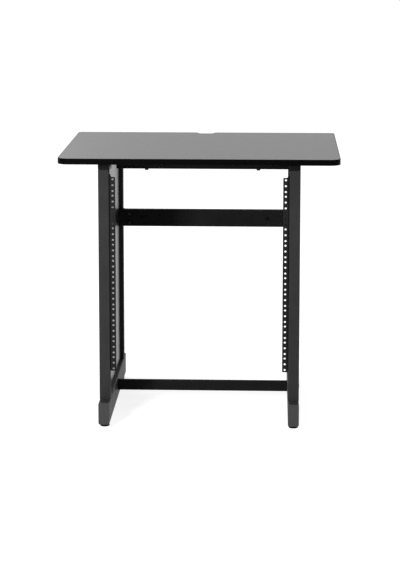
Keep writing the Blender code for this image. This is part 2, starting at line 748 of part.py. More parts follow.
def build_bracket(side_name, side, materials):
    """Build the angle that joins the mid crossbar to a rear column, with its weld nuts and screws."""
    outer = FRAME_INSIDE - GAP
    near = REAR_COLUMN_FRONT
    corners = [
        (outer, near),
        (outer, near + BRACKET_SIDE_LEG),
        (outer - BRACKET_SHEET, near + BRACKET_SIDE_LEG),
        (outer - BRACKET_SHEET, near + BRACKET_SHEET),
        (outer - BRACKET_LEG, near + BRACKET_SHEET),
        (outer - BRACKET_LEG, near),
    ]
    radii = [BRACKET_BEND + BRACKET_SHEET, 0, 0, BRACKET_BEND, 0, 0]
    outline = [(side * u, v) for u, v in rounded(corners, radii)]
    bottom = MID_CROSSBAR_MIDDLE - BRACKET_HEIGHT / 2
    mesh = bmesh.new()
    add_prism(mesh, outline, "Z", bottom, bottom + BRACKET_HEIGHT)
    bracket = add_object(f"{side_name}_mid_bracket", mesh, materials["matt_coat"])
    bolts = [(side * MID_CROSSBAR_BOLT_X, z) for z in mid_bolt_heights()]
    nut_front = near + BRACKET_SHEET - SCREW_SEAT
    nut_rear = near + BRACKET_SHEET + BRACKET_NUT_HEIGHT
    nuts = bmesh.new()
    for place in bolts:
        add_prism(nuts, hexagon(BRACKET_NUT_ACROSS, place), "Y", nut_front, nut_rear)
    with_boolean(bracket, nuts, "UNION")
    tool = bmesh.new()
    add_holes(tool, M6 + HOLE_CLEARANCE, "Y", bolts, near - CUT_MARGIN, nut_rear + CUT_MARGIN)
    with_boolean(bracket, tool)
    fix_screws(
        bracket,
        screw_profile(M5, BRACKET_SHEET + SHEET_SCREW_BITE, BRACKET_SCREW_HEAD),
        [(side * (outer - BRACKET_SHEET + SCREW_SEAT), y, z) for y, z in bracket_screw_places()],
        (-side, 0, 0),
    )


# Rack rails


def rail_screw_places():
    """Return where the screws pass through the rail's side flange into the column."""
    lowest = RAIL_BOTTOM + RAIL_SCREW_LOWEST
    highest = RAIL_TOP - RACK_HOLES_IN_A_UNIT[1]
    pitch = (highest - lowest) / (RAIL_SCREWS - 1)
    return [(RAIL_SCREW_Y, lowest + pitch * index) for index in range(RAIL_SCREWS)]


def rack_hole_heights():
    """Return the heights of every rack hole, three to a unit, unevenly spaced as the standard says."""
    return [
        RAIL_BOTTOM + unit * RACK_UNIT + height
        for unit in range(RACK_UNITS)
        for height in RACK_HOLES_IN_A_UNIT
    ]


def rail_section(side):
    """Return the folded rail's cross section; its free end runs past the rack opening."""
    free_end = RACK_OPENING / 2 - RAIL_TRIM
    rear = FRAME_FRONT + RAIL_SIDE_DEPTH
    corners = [
        (free_end, FRAME_FRONT),
        (RAIL_OUTSIDE, FRAME_FRONT),
        (RAIL_OUTSIDE, rear),
        (RAIL_OUTSIDE - RAIL_SHEET, rear),
        (RAIL_OUTSIDE - RAIL_SHEET, FRAME_FRONT + RAIL_SHEET),
        (free_end, FRAME_FRONT + RAIL_SHEET),
    ]
    radii = [0, RAIL_BEND, 0, 0, RAIL_BEND - RAIL_SHEET, 0]
    return [(side * u, v) for u, v in rounded(corners, radii, 4)]


def rail_front_view(side):
    """Return the rail's outline seen from the front: round free corners and a cut relief at the bend."""
    free_edge = RACK_OPENING / 2
    bend_line = RAIL_OUTSIDE - RAIL_SHEET
    beyond = RAIL_OUTSIDE + CUT_MARGIN
    corners = [
        (free_edge, RAIL_BOTTOM),
        (beyond, RAIL_BOTTOM),
        (beyond, RAIL_TOP + RAIL_RELIEF),
        (bend_line, RAIL_TOP + RAIL_RELIEF),
        (bend_line - RAIL_RELIEF, RAIL_TOP),
        (free_edge, RAIL_TOP),
    ]
    radii = [RAIL_FREE_CORNER, 0, 0, 0, 0, RAIL_FREE_CORNER]
    return [(side * u, v) for u, v in rounded(corners, radii)]


def build_rail(side_name, side, materials):
    """Build a rack rail as it is made: a folded section, trimmed to its front view, then punched."""
    mesh = bmesh.new()
    add_prism(mesh, rail_section(side), "Z", RAIL_BOTTOM - RAIL_TRIM, RAIL_TOP + RAIL_TRIM)
    rail = add_object(f"{side_name}_rack_rail", mesh, materials["rail_coat"])
    front_view = bmesh.new()
    front = FRAME_FRONT - CUT_MARGIN
    behind = FRAME_FRONT + RAIL_SIDE_DEPTH + CUT_MARGIN
    add_prism(front_view, rail_front_view(side), "Y", front, behind)
    with_boolean(rail, front_view, "INTERSECT")
    punches = bmesh.new()
    rack_holes = [(side * RACK_HOLE_SPACING / 2, z) for z in rack_hole_heights()]
    add_holes(punches, RACK_HOLE_DIAMETER, "Y", rack_holes, front, FRAME_FRONT + CUT_REACH)
    with_boolean(rail, punches)
    fix_screws(
        rail,
        screw_profile(M6, RAIL_SHEET + SHEET_SCREW_BITE, RAIL_SCREW_HEAD),
        [(side * (RAIL_OUTSIDE - RAIL_SHEET + SCREW_SEAT), y, z) for y, z in rail_screw_places()],
        (-side, 0, 0),
    )


# Levelling feet


def build_leveller(side_name, side, end_name, end, materials):
    """Build a weld nut inside the foot beam, and a stem that screws into it and turns on a round base."""
    name = f"{side_name}_{end_name}"
    x = side * FRAME_MIDDLE
    y = end * LEVELLER_Y
    bottom = FLOOR_CLEARANCE + TUBE_WALL + GAP
    bore = circle(LEVELLER_STEM_DIAMETER / 2 + HOLE_CLEARANCE, (x, y), STEM_STEPS)
    nut = bmesh.new()
    add_prism(nut, hexagon(WELD_NUT_ACROSS, (x, y)), "Z", bottom, bottom + WELD_NUT_HEIGHT, bore)
    add_object(f"{name}_weld_nut", nut, materials["zinc_steel"])

    radius = LEVELLER_BASE_DIAMETER / 2
    pin_radius = LEVELLER_PIN_DIAMETER / 2
    base_profile = [
        (0, 0),
        (radius - LEVELLER_BASE_CHAMFER[0], 0),
        (radius, LEVELLER_BASE_CHAMFER[1]),
        (radius, LEVELLER_BASE_RIM),
        (radius - LEVELLER_BASE_SHOULDER[0], LEVELLER_BASE_HEIGHT - LEVELLER_BASE_SHOULDER[1]),
        (radius - LEVELLER_BASE_CROWN, LEVELLER_BASE_HEIGHT),
        (pin_radius + GAP, LEVELLER_BASE_HEIGHT),
        (pin_radius + GAP, LEVELLER_BASE_HEIGHT - LEVELLER_PIN_LENGTH),
        (0, LEVELLER_BASE_HEIGHT - LEVELLER_PIN_LENGTH),
    ]
    base = bmesh.new()
    add_turned(base, base_profile, (x, y, 0), (0, 0, 1), LEVELLER_STEPS)
    add_object(f"{name}_leveller_base", base, materials["glide_plastic"])

    collar_bottom = LEVELLER_BASE_HEIGHT + GAP
    collar_top = collar_bottom + LEVELLER_COLLAR_HEIGHT
    stem = bmesh.new()
    add_prism(stem, hexagon(LEVELLER_COLLAR_ACROSS, (x, y)), "Z", collar_bottom, collar_top)
    stem = add_object(f"{name}_leveller_stem", stem, materials["zinc_steel"])
    shank = bmesh.new()
    shank_top = collar_bottom + LEVELLER_STEM_LENGTH
    stem_radius = LEVELLER_STEM_DIAMETER / 2
    shank_profile = [
        (0, collar_bottom - LEVELLER_PIN_LENGTH),
        (pin_radius, collar_bottom - LEVELLER_PIN_LENGTH),
        (pin_radius, collar_bottom + LEVELLER_STEM_BITE),
        (stem_radius, collar_bottom + LEVELLER_STEM_BITE),
        (stem_radius, shank_top - LEVELLER_STEM_CHAMFER),
        (stem_radius - LEVELLER_STEM_CHAMFER, shank_top),
        (0, shank_top),
    ]
    add_turned(shank, shank_profile, (x, y, 0), (0, 0, 1), STEM_STEPS)
    with_boolean(stem, shank, "UNION")


def clear_scene():
    """Remove every object of the open scene."""
    for thing in list(bpy.data.objects):
        bpy.data.objects.remove(thing)


def main():
    """Build the whole table."""
    clear_scene()
    materials = make_materials()
    build_table_top(materials)
    build_top_crossbar(materials)
    build_mid_crossbar(materials)
    build_low_crossbar(materials)
    for side_name, side in SIDES.items():
        build_columns(side_name, side, materials)
        build_beams(side_name, side, materials)
        build_end_caps(side_name, side, materials)
        build_side_panel(side_name, side, materials)
        build_bracket(side_name, side, materials)
        build_rail(side_name, side, materials)
        for end_name, end in ENDS.items():
            build_leveller(side_name, side, end_name, end, materials)


main()
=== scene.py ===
"""Looks of the studio rack table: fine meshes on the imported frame, finishes and a white studio.

Units are metres. +X is the right hand side seen from the front, -Y faces the user and +Z is up.
"""

import json
import logging
import math
from collections.abc import Iterable, Sequence
from dataclasses import dataclass
from enum import Enum

import bmesh
import bpy
from mathutils import Matrix, Vector

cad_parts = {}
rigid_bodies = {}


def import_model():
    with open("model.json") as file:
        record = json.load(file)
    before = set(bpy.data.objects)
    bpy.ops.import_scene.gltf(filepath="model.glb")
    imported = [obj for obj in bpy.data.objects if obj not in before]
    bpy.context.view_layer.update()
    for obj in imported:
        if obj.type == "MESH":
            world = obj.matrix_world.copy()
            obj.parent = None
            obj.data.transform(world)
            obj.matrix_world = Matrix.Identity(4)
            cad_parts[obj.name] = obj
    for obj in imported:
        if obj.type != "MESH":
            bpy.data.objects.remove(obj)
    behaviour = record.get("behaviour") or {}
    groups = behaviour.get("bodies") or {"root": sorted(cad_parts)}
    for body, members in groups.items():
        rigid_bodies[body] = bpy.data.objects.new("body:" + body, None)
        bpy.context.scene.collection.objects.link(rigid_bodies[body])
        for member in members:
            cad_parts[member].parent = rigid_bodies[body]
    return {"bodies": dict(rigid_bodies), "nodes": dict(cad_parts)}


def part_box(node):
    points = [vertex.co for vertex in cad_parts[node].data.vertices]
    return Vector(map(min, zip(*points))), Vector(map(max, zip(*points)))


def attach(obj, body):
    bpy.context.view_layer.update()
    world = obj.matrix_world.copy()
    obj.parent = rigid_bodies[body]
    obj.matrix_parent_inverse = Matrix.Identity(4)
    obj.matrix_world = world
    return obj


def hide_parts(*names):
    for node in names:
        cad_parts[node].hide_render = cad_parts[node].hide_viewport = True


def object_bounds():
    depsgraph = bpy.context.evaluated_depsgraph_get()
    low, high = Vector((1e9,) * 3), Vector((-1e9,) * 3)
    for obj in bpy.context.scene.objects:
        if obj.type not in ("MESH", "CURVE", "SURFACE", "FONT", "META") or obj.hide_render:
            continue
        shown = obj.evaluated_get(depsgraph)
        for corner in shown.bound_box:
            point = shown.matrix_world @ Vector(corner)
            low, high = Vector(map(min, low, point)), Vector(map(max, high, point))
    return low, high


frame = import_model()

LOG = logging.getLogger("studio_rack_table")
CAD_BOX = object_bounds()

MM = 0.001
UP = Vector((0, 0, 1))
TO_USER = Vector((0, -1, 0))

# The gap between CAD pieces, and how near two points are to count as one.
GAP = 0.3 * MM
TOUCH = 0.01 * MM
# The least cosine between two directions that count as one.
FLAT_ENOUGH = 0.99
# From how many degrees on an edge shows as sharp.
SHARP_ANGLE = 38.0
# What Blender's bevel calls a round profile, and how many facets the rounds have.
ROUND = 0.5
ROUND_STEPS = 6
SMALL_ROUND_STEPS = 4
CHAMFER_STEPS = 2
# How many facets go round a small turned piece or a bore.
TURN_STEPS = 32

# The noises of every finish: tone is its drift in colour, wear its drift in roughness.
NOISE_ROUGHNESS = 0.6
TONE_SPAN = (0.35, 0.65)
TONE_DETAIL = 4.0
WEAR_SPAN = (0.3, 0.7)
WEAR_DETAIL = 6.0
WEAR_SHARE = 0.4
BRUSH_STRETCH = (1.0, 1.0, 0.06)
NO_STRETCH = (1.0, 1.0, 1.0)

Colour = tuple[float, float, float]
Span = tuple[float, float]
Point = tuple[float, float, float]
Mesh = bmesh.types.BMesh
Vert = bmesh.types.BMVert
Edge = bmesh.types.BMEdge
Face = bmesh.types.BMFace
Part = Vert | Edge | Face
Socket = bpy.types.NodeSocket


class Axis(Enum):
    """A direction that a tube runs along, and its place in a vector."""

    X = 0
    Y = 1
    Z = 2


class Named(Enum):
    """A choice whose name is a part of the names of nodes."""

    @property
    def word(self) -> str:
        """Return the choice's name as the nodes spell it."""
        return self.name.lower()


class Side(Named):
    """A side of the table seen from the front, with the sign of its X."""

    LEFT = -1
    RIGHT = 1


class End(Named):
    """An end of a side frame, with the sign of its Y."""

    FRONT = -1
    REAR = 1


class Relief(Enum):
    """What the small relief of a finish is, with the octaves of its noise."""

    ORANGE_PEEL = 2.0
    MOULD_GRAIN = 0.0
    BRUSHED = 5.0


def grey(value: float) -> Colour:
    """Return a neutral linear colour."""
    return (value, value, value)


@dataclass
class NodeGraph:
    """The nodes of a material or of the world.

    Attributes:
        tree: the node tree that holds them.
    """

    tree: bpy.types.NodeTree

    def add(self, kind: str, inputs: dict[str | int, object] | None = None) -> bpy.types.Node:
        """Add a node.

        Args:
            kind: its type, without the word ShaderNode.
            inputs: what its inputs get, as fill takes it.

        Returns:
            The node.
        """
        node = self.tree.nodes.new(f"ShaderNode{kind}")
        self.fill(node, inputs or {})
        return node

    def fill(self, node: bpy.types.Node, inputs: dict[str | int, object]) -> None:
        """Set or join inputs of a node.

        Args:
            node: the node.
            inputs: a value, or the socket to join, for the name or number of each input.
        """
        for name, value in inputs.items():
            if isinstance(value, Socket):
                self.tree.links.new(value, node.inputs[name])
            else:
                node.inputs[name].default_value = value

    def noise(self, place: Socket, size: float, detail: float) -> Socket:
        """Return the value of a noise, from 0 to 1.

        Args:
            place: the coordinates that it reads.
            size: the size of its features.
            detail: how many finer octaves it has.

        Returns:
            The value's socket.
        """
        inputs = {
            "Vector": place,
            "Scale": 1.0 / size,
            "Detail": detail,
            "Roughness": NOISE_ROUGHNESS,
        }
        return self.add("TexNoise", inputs).outputs["Fac"]


@dataclass(frozen=True)
class Finish:
    """A surface finish, and the numbers of the node material that shows it.

    Attributes:
        name: the material's name.
        slot: the record's material slot.
        deep: the darker colour of its patches.
        pale: the lighter colour of its patches.
        roughness: the least and the greatest roughness.
        relief: what its small relief is.
        grain: the size of the grains of that relief.
        height: how high the grains stand.
        patch: the size of the patches of colour.
        specular: the strength of the reflection of what isn't metal.
        metallic: 1 for bare metal.
    """

    name: str
    slot: str
    deep: Colour
    pale: Colour
    roughness: Span
    relief: Relief
    grain: float
    height: float
    patch: float = 60 * MM
    specular: float = 0.5
    metallic: float = 0.0

    def material(self) -> bpy.types.Material:
        """Return the finish's material, made on its first use."""
        return bpy.data.materials.get(self.name) or self._make()

    def _make(self) -> bpy.types.Material:
        """Make the finish's material.

        Returns:
            A new node material.
        """
        material = bpy.data.materials.new(self.name)
        material.use_nodes = True
        material.diffuse_color = (*self.pale, 1.0)
        graph = NodeGraph(material.node_tree)
        place = graph.add("TexCoord").outputs["Object"]
        inputs = {
            "Base Color": self._tone(graph, place),
            "Roughness": self._wear(graph, place),
            "Normal": self._relief_normal(graph, place),
            "Specular IOR Level": self.specular,
            "Metallic": self.metallic,
        }
        graph.fill(graph.tree.nodes["Principled BSDF"], inputs)
        return material

    def _tone(self, graph: NodeGraph, place: Socket) -> Socket:
        """Return the colour, which drifts between deep and pale.

        Args:
            graph: the material's nodes.
            place: the coordinates that the drift reads.

        Returns:
            The colour's socket.
        """
        ramp = graph.add("ValToRGB", {"Fac": graph.noise(place, self.patch, TONE_DETAIL)})
        stops = ramp.color_ramp.elements
        for stop, position, colour in zip(stops, TONE_SPAN, (self.deep, self.pale)):
            stop.position = position
            stop.color = (*colour, 1.0)
        return ramp.outputs["Color"]

    def _wear(self, graph: NodeGraph, place: Socket) -> Socket:
        """Return the roughness, which varies as handling leaves it.

        Args:
            graph: the material's nodes.
            place: the coordinates that the wear reads.

        Returns:
            The roughness's socket.
        """
        inputs = {
            "Value": graph.noise(place, self.patch * WEAR_SHARE, WEAR_DETAIL),
            "From Min": WEAR_SPAN[0],
            "From Max": WEAR_SPAN[1],
            "To Min": self.roughness[0],
            "To Max": self.roughness[1],
        }
        return graph.add("MapRange", inputs).outputs["Result"]

    def _relief_normal(self, graph: NodeGraph, place: Socket) -> Socket:
        """Return the surface's direction, bent by its small relief.

        Args:
            graph: the material's nodes.
            place: the coordinates that the relief reads.

        Returns:
            The direction's socket.
        """
        if self.relief is Relief.MOULD_GRAIN:
            grains = graph.add("TexVoronoi", {"Vector": place, "Scale": 1.0 / self.grain})
            grains.feature = "SMOOTH_F1"
            value = grains.outputs["Distance"]
        else:
            scale = BRUSH_STRETCH if self.relief is Relief.BRUSHED else NO_STRETCH
            stretch = graph.add("Mapping", {"Vector": place, "Scale": scale})
            value = graph.noise(stretch.outputs["Vector"], self.grain, self.relief.value)
        inputs = {"Height": value, "Strength": 1.0, "Distance": self.height}
        return graph.add("Bump", inputs).outputs["Normal"]


LAMINATE = Finish(
    name="black_laminate",
    slot="laminate",
    deep=grey(0.005),
    pale=grey(0.006),
    roughness=(0.325, 0.345),
    relief=Relief.MOULD_GRAIN,
    grain=0.9 * MM,
    height=0.006 * MM,
)
EDGE_BAND = Finish(
    name="black_edge_band",
    slot="edge_band",
    deep=grey(0.0012),
    pale=grey(0.0017),
    roughness=(0.30, 0.40),
    relief=Relief.ORANGE_PEEL,
    grain=1.5 * MM,
    height=0.01 * MM,
    specular=0.02,
)
POWDER_COAT = Finish(
    name="black_powder_coat",
    slot="powder_coat",
    deep=grey(0.034),
    pale=grey(0.040),
    roughness=(0.42, 0.52),
    relief=Relief.ORANGE_PEEL,
    grain=1.2 * MM,
    height=0.03 * MM,
    specular=0.06,
)
# The bars' coat: matt, and darker than the powder coat, partly as painted shade for the shade that
# the bars sit in under the tabletop.
MATT_COAT_WITH_PAINTED_SHADE = Finish(
    name="matt_black_coat",
    slot="matt_coat",
    deep=grey(0.014),
    pale=grey(0.018),
    roughness=(0.45, 0.55),
    relief=Relief.ORANGE_PEEL,
    grain=1.2 * MM,
    height=0.02 * MM,
    specular=0.03,
)
PANEL_COAT = Finish(
    name="smooth_panel_coat",
    slot="panel_coat",
    deep=grey(0.010),
    pale=grey(0.013),
    roughness=(0.28, 0.34),
    relief=Relief.ORANGE_PEEL,
    grain=2.5 * MM,
    height=0.02 * MM,
    specular=0.42,
)
RAIL_COAT = Finish(
    name="black_rail_coat",
    slot="rail_coat",
    deep=grey(0.009),
    pale=grey(0.012),
    roughness=(0.40, 0.50),
    relief=Relief.ORANGE_PEEL,
    grain=0.8 * MM,
    height=0.03 * MM,
    specular=0.10,
)
CAP_PLASTIC = Finish(
    name="moulded_cap_plastic",
    slot="cap_plastic",
    deep=grey(0.053),
    pale=grey(0.061),
    roughness=(0.45, 0.55),
    relief=Relief.MOULD_GRAIN,
    grain=0.6 * MM,
    height=0.02 * MM,
    specular=0.2,
)
GLIDE_PLASTIC = Finish(
    name="moulded_glide_plastic",
    slot="glide_plastic",
    deep=grey(0.002),
    pale=grey(0.003),
    roughness=(0.45, 0.60),
    relief=Relief.MOULD_GRAIN,
    grain=0.6 * MM,
    height=0.02 * MM,
    specular=0.08,
)
ZINC_STEEL = Finish(
    name="zinc_plated_steel",
    slot="zinc_steel",
    deep=(0.42, 0.43, 0.44),
    pale=(0.58, 0.58, 0.57),
    roughness=(0.28, 0.42),
    relief=Relief.BRUSHED,
    grain=0.5 * MM,
    height=0.01 * MM,
    patch=8 * MM,
    metallic=1.0,
)
BLACK_STEEL = Finish(
    name="blackened_steel",
    slot="black_steel",
    deep=grey(0.015),
    pale=grey(0.030),
    roughness=(0.35, 0.45),
    relief=Relief.BRUSHED,
    grain=0.5 * MM,
    height=0.01 * MM,
    patch=8 * MM,
    metallic=1.0,
)


def verts_of(geom: Iterable[Part]) -> list[Vert]:
    """Return the vertices among some geometry."""
    return [part for part in geom if isinstance(part, Vert)]


def edges_of(geom: Iterable[Part]) -> list[Edge]:
    """Pick edges out of some geometry.

    Args:
        geom: what an operator made or cut.

    Returns:
        The edges in it that join two of its own vertices.
    """
    parts = list(geom)
    verts = set(verts_of(parts))
    edges = [part for part in parts if isinstance(part, Edge)]
    return [edge for edge in edges if all(vert in verts for vert in edge.verts)]


def box_mesh(low: Vector, high: Vector) -> Mesh:
    """Return a box.

    Args:
        low: its lowest corner.
        high: its highest corner.

    Returns:
        A mesh of six faces.
    """
    mesh = bmesh.new()
    place = Matrix.Translation((low + high) / 2) @ Matrix.Diagonal((*(high - low), 1.0))
    bmesh.ops.create_cube(mesh, size=1.0, matrix=place)
    return mesh


def round_off(
    mesh: Mesh, parts: Iterable[Vert | Edge], offset: float, steps: int = ROUND_STEPS
) -> None:
    """Round edges of a mesh, or corners of a flat face.

    Args:
        mesh: the mesh.
        parts: the edges, or the corners.
        offset: how far from them the round starts, which is the radius at a right-angled edge.
        steps: how many facets the round has.
    """
    geom = list(parts)
    affect = "VERTICES" if verts_of(geom) else "EDGES"
    bmesh.ops.bevel(
        mesh, geom=geom, offset=offset, segments=steps, profile=ROUND, affect=affect, material=-1
    )


def edges_along(mesh: Mesh, axis: Axis) -> list[Edge]:
    """Find the edges that run one way.

    Args:
        mesh: the mesh.
        axis: the axis that they run along.

    Returns:
        The edges.
    """
    found = []
    for edge in mesh.edges:
        run = (edge.verts[1].co - edge.verts[0].co).normalized()
        if abs(run[axis.value]) > FLAT_ENOUGH:
            found.append(edge)
    return found


def faces_towards(mesh: Mesh, way: Vector) -> list[Face]:
    """Return the faces whose normal points one way."""
    mesh.normal_update()
    return [face for face in mesh.faces if face.normal.dot(way) > FLAT_ENOUGH]


def rim_of(faces: Iterable[Face]) -> list[Edge]:
    """Find the edges round some faces.

    Args:
        faces: faces that lie side by side.

    Returns:
        Their edges that aren't between two of them.
    """
    inside = set(faces)
    edges = {edge for face in inside for edge in face.edges}
    return [edge for edge in edges if not all(face in inside for face in edge.link_faces)]


def sweep(mesh: Mesh, edges: list[Edge], travel: Point | Vector) -> list[Part]:
    """Sweep edges into faces.

    Args:
        mesh: the mesh.
        edges: the edges to sweep.
        travel: how far they go.

    Returns:
        The edges at their new place, with their vertices.
    """
    swept = bmesh.ops.extrude_edge_only(mesh, edges=edges)["geom"]
    bmesh.ops.translate(mesh, verts=verts_of(swept), vec=travel)
    return swept


def thicken(mesh: Mesh, faces: list[Face], travel: Point | Vector) -> None:
    """Sweep flat faces of a mesh into a body that is as thick as their travel."""
    swept = bmesh.ops.extrude_face_region(mesh, geom=faces)["geom"]
    bmesh.ops.translate(mesh, verts=verts_of(swept), vec=travel)


def face_outwards(mesh: Mesh, way: Vector) -> None:
    """Turn the faces of an open sheet so that most of its area faces one way.

    Args:
        mesh: the sheet.
        way: the way that its outer side faces.
    """
    bmesh.ops.recalc_face_normals(mesh, faces=mesh.faces)
    mesh.normal_update()
    if sum(face.calc_area() * face.normal.dot(way) for face in mesh.faces) < 0:
        bmesh.ops.reverse_faces(mesh, faces=mesh.faces)


def turn_to(way: Vector) -> Matrix:
    """Return the turn from the Z axis to another way."""
    return UP.rotation_difference(way).to_matrix().to_4x4()


def circle_of(mesh: Mesh, centre: Vector, way: Vector, radius: float, steps: int) -> list[Vert]:
    """Add a circle to a mesh.

    Args:
        mesh: the mesh.
        centre: the circle's centre.
        way: the direction of its axis, about which its vertices turn anticlockwise.
        radius: its radius.
        steps: how many edges it has.

    Returns:
        Its vertices in order.
    """
    place = Matrix.Translation(centre) @ turn_to(way)
    verts = bmesh.ops.create_circle(mesh, radius=radius, segments=steps, matrix=place)["verts"]
    anticlockwise = (verts[0].co - centre).cross(verts[1].co - centre).dot(way) > 0
    return verts if anticlockwise else verts[::-1]


def fill_between(mesh: Mesh, centre: Vector, coarse: list[Vert], circle: list[Vert]) -> None:
    """Fill the flat ring between a loop and a circle that turn the same way.

    Args:
        mesh: the mesh.
        centre: the circle's centre.
        coarse: the loop's vertices in order; each of its edges gets one face.
        circle: the circle's vertices in order.
    """
    reach = [[(vert.co - centre).dot(point.co - centre) for point in circle] for vert in coarse]
    nearest = [row.index(max(row)) for row in reach]
    for index, first in enumerate(nearest):
        following = (index + 1) % len(coarse)
        stretch = (nearest[following] - first) % len(circle)
        curve = [circle[(first + step) % len(circle)] for step in range(stretch + 1)]
        mesh.faces.new([coarse[index], coarse[following], *reversed(curve)])


def punch(mesh: Mesh, centre: Vector, radius: float, steps: int) -> None:
    """Punch a round hole in the flat face nearest to a point.

    Args:
        mesh: the mesh.
        centre: the hole's centre, on the face.
        radius: the hole's radius.
        steps: how many edges go round it.
    """
    mesh.normal_update()
    face = min(mesh.faces, key=lambda item: (item.calc_center_median() - centre).length)
    rim = list(face.verts)
    circle = circle_of(mesh, centre, face.normal, radius, steps)
    bmesh.ops.delete(mesh, geom=[face], context="FACES_ONLY")
    fill_between(mesh, centre, rim, circle)


def tube_skin(low: Vector, high: Vector, axis: Axis, radius: float) -> Mesh:
    """Return the outer skin of a rectangular tube, open at its ends.

    Args:
        low: the tube's lowest corner.
        high: its highest corner.
        axis: the direction that it runs along.
        radius: the radius of its long edges.

    Returns:
        A mesh of the skin, facing outwards.
    """
    mesh = box_mesh(low, high)
    mesh.normal_update()
    ends = [face for face in mesh.faces if abs(face.normal[axis.value]) > FLAT_ENOUGH]
    bmesh.ops.delete(mesh, geom=ends, context="FACES_ONLY")
    round_off(mesh, edges_along(mesh, axis), radius)
    bmesh.ops.recalc_face_normals(mesh, faces=mesh.faces)
    return mesh


def with_wall(mesh: Mesh, wall: float) -> Mesh:
    """Return the same sheet, given its thickness on its inner side."""
    bmesh.ops.solidify(mesh, geom=list(mesh.faces), thickness=wall)
    return mesh


def turned_mesh(profile: Sequence[Span], steps: int = TURN_STEPS) -> Mesh:
    """Return a profile turned about the Z axis.

    Args:
        profile: points of radius and height.
        steps: how many facets go round.

    Returns:
        The turned mesh, closed where the profile reaches the axis.
    """
    mesh = bmesh.new()
    verts = [mesh.verts.new((radius, 0.0, height)) for radius, height in profile]
    edges = [mesh.edges.new(pair) for pair in zip(verts, verts[1:])]
    turn = 2 * math.pi
    bmesh.ops.spin(mesh, geom=verts + edges, axis=UP, angle=turn, steps=steps, use_merge=True)
    bmesh.ops.remove_doubles(mesh, verts=mesh.verts, dist=TOUCH)
    bmesh.ops.recalc_face_normals(mesh, faces=mesh.faces)
    return mesh


def arc(centre: Span, radius: float, turns: Span, steps: int) -> list[Span]:
    """Return points of radius and height along an arc of a turned profile.

    Args:
        centre: the arc's centre.
        radius: its radius.
        turns: the angles of its ends, in degrees above the outward direction.
        steps: how many stretches it has.

    Returns:
        The points from the first end to the other.
    """
    start, end = turns
    angles = [math.radians(start + (end - start) * step / steps) for step in range(steps + 1)]
    return [(centre[0] + radius * math.cos(t), centre[1] + radius * math.sin(t)) for t in angles]


def dome(crown: Span, rim: Span, steps: int) -> list[Span]:
    """Return points of radius and height along a quarter of an ellipse.

    Args:
        crown: its upper end, where it is level.
        rim: its outer end, where it is upright.
        steps: how many stretches it has.

    Returns:
        The points from the crown to the rim.
    """
    out = rim[0] - crown[0]
    rise = crown[1] - rim[1]
    angles = [math.pi / 2 * step / steps for step in range(steps + 1)]
    return [(crown[0] + out * math.sin(t), rim[1] + rise * math.cos(t)) for t in angles]


def hexagon_nut(across: float, height: float, chamfer: float) -> Mesh:
    """Return a hexagon prism that stands on height 0.

    Args:
        across: its size across the flats.
        height: its height.
        chamfer: the width of the chamfer round its top and bottom.

    Returns:
        The closed prism.
    """
    mesh = bmesh.new()
    radius = across / math.sqrt(3)
    middle = Matrix.Translation((0, 0, height / 2))
    bmesh.ops.create_cone(
        mesh, cap_ends=True, segments=6, radius1=radius, radius2=radius, depth=height, matrix=middle
    )
    rims = rim_of(faces_towards(mesh, UP)) + rim_of(faces_towards(mesh, -UP))
    round_off(mesh, rims, chamfer, CHAMFER_STEPS)
    return mesh


def placed(mesh: Mesh, place: Vector, way: Vector = UP) -> Mesh:
    """Return the same mesh, its Z axis turned to a way and its origin put in a place."""
    bmesh.ops.transform(mesh, matrix=Matrix.Translation(place) @ turn_to(way), verts=mesh.verts)
    return mesh


def joined(meshes: Iterable[Mesh]) -> Mesh:
    """Put several meshes into one.

    Args:
        meshes: the meshes; they are freed.

    Returns:
        One mesh that holds them all.
    """
    whole = bmesh.new()
    for mesh in meshes:
        data = bpy.data.meshes.new("part")
        mesh.to_mesh(data)
        mesh.free()
        whole.from_mesh(data)
        bpy.data.meshes.remove(data)
    return whole


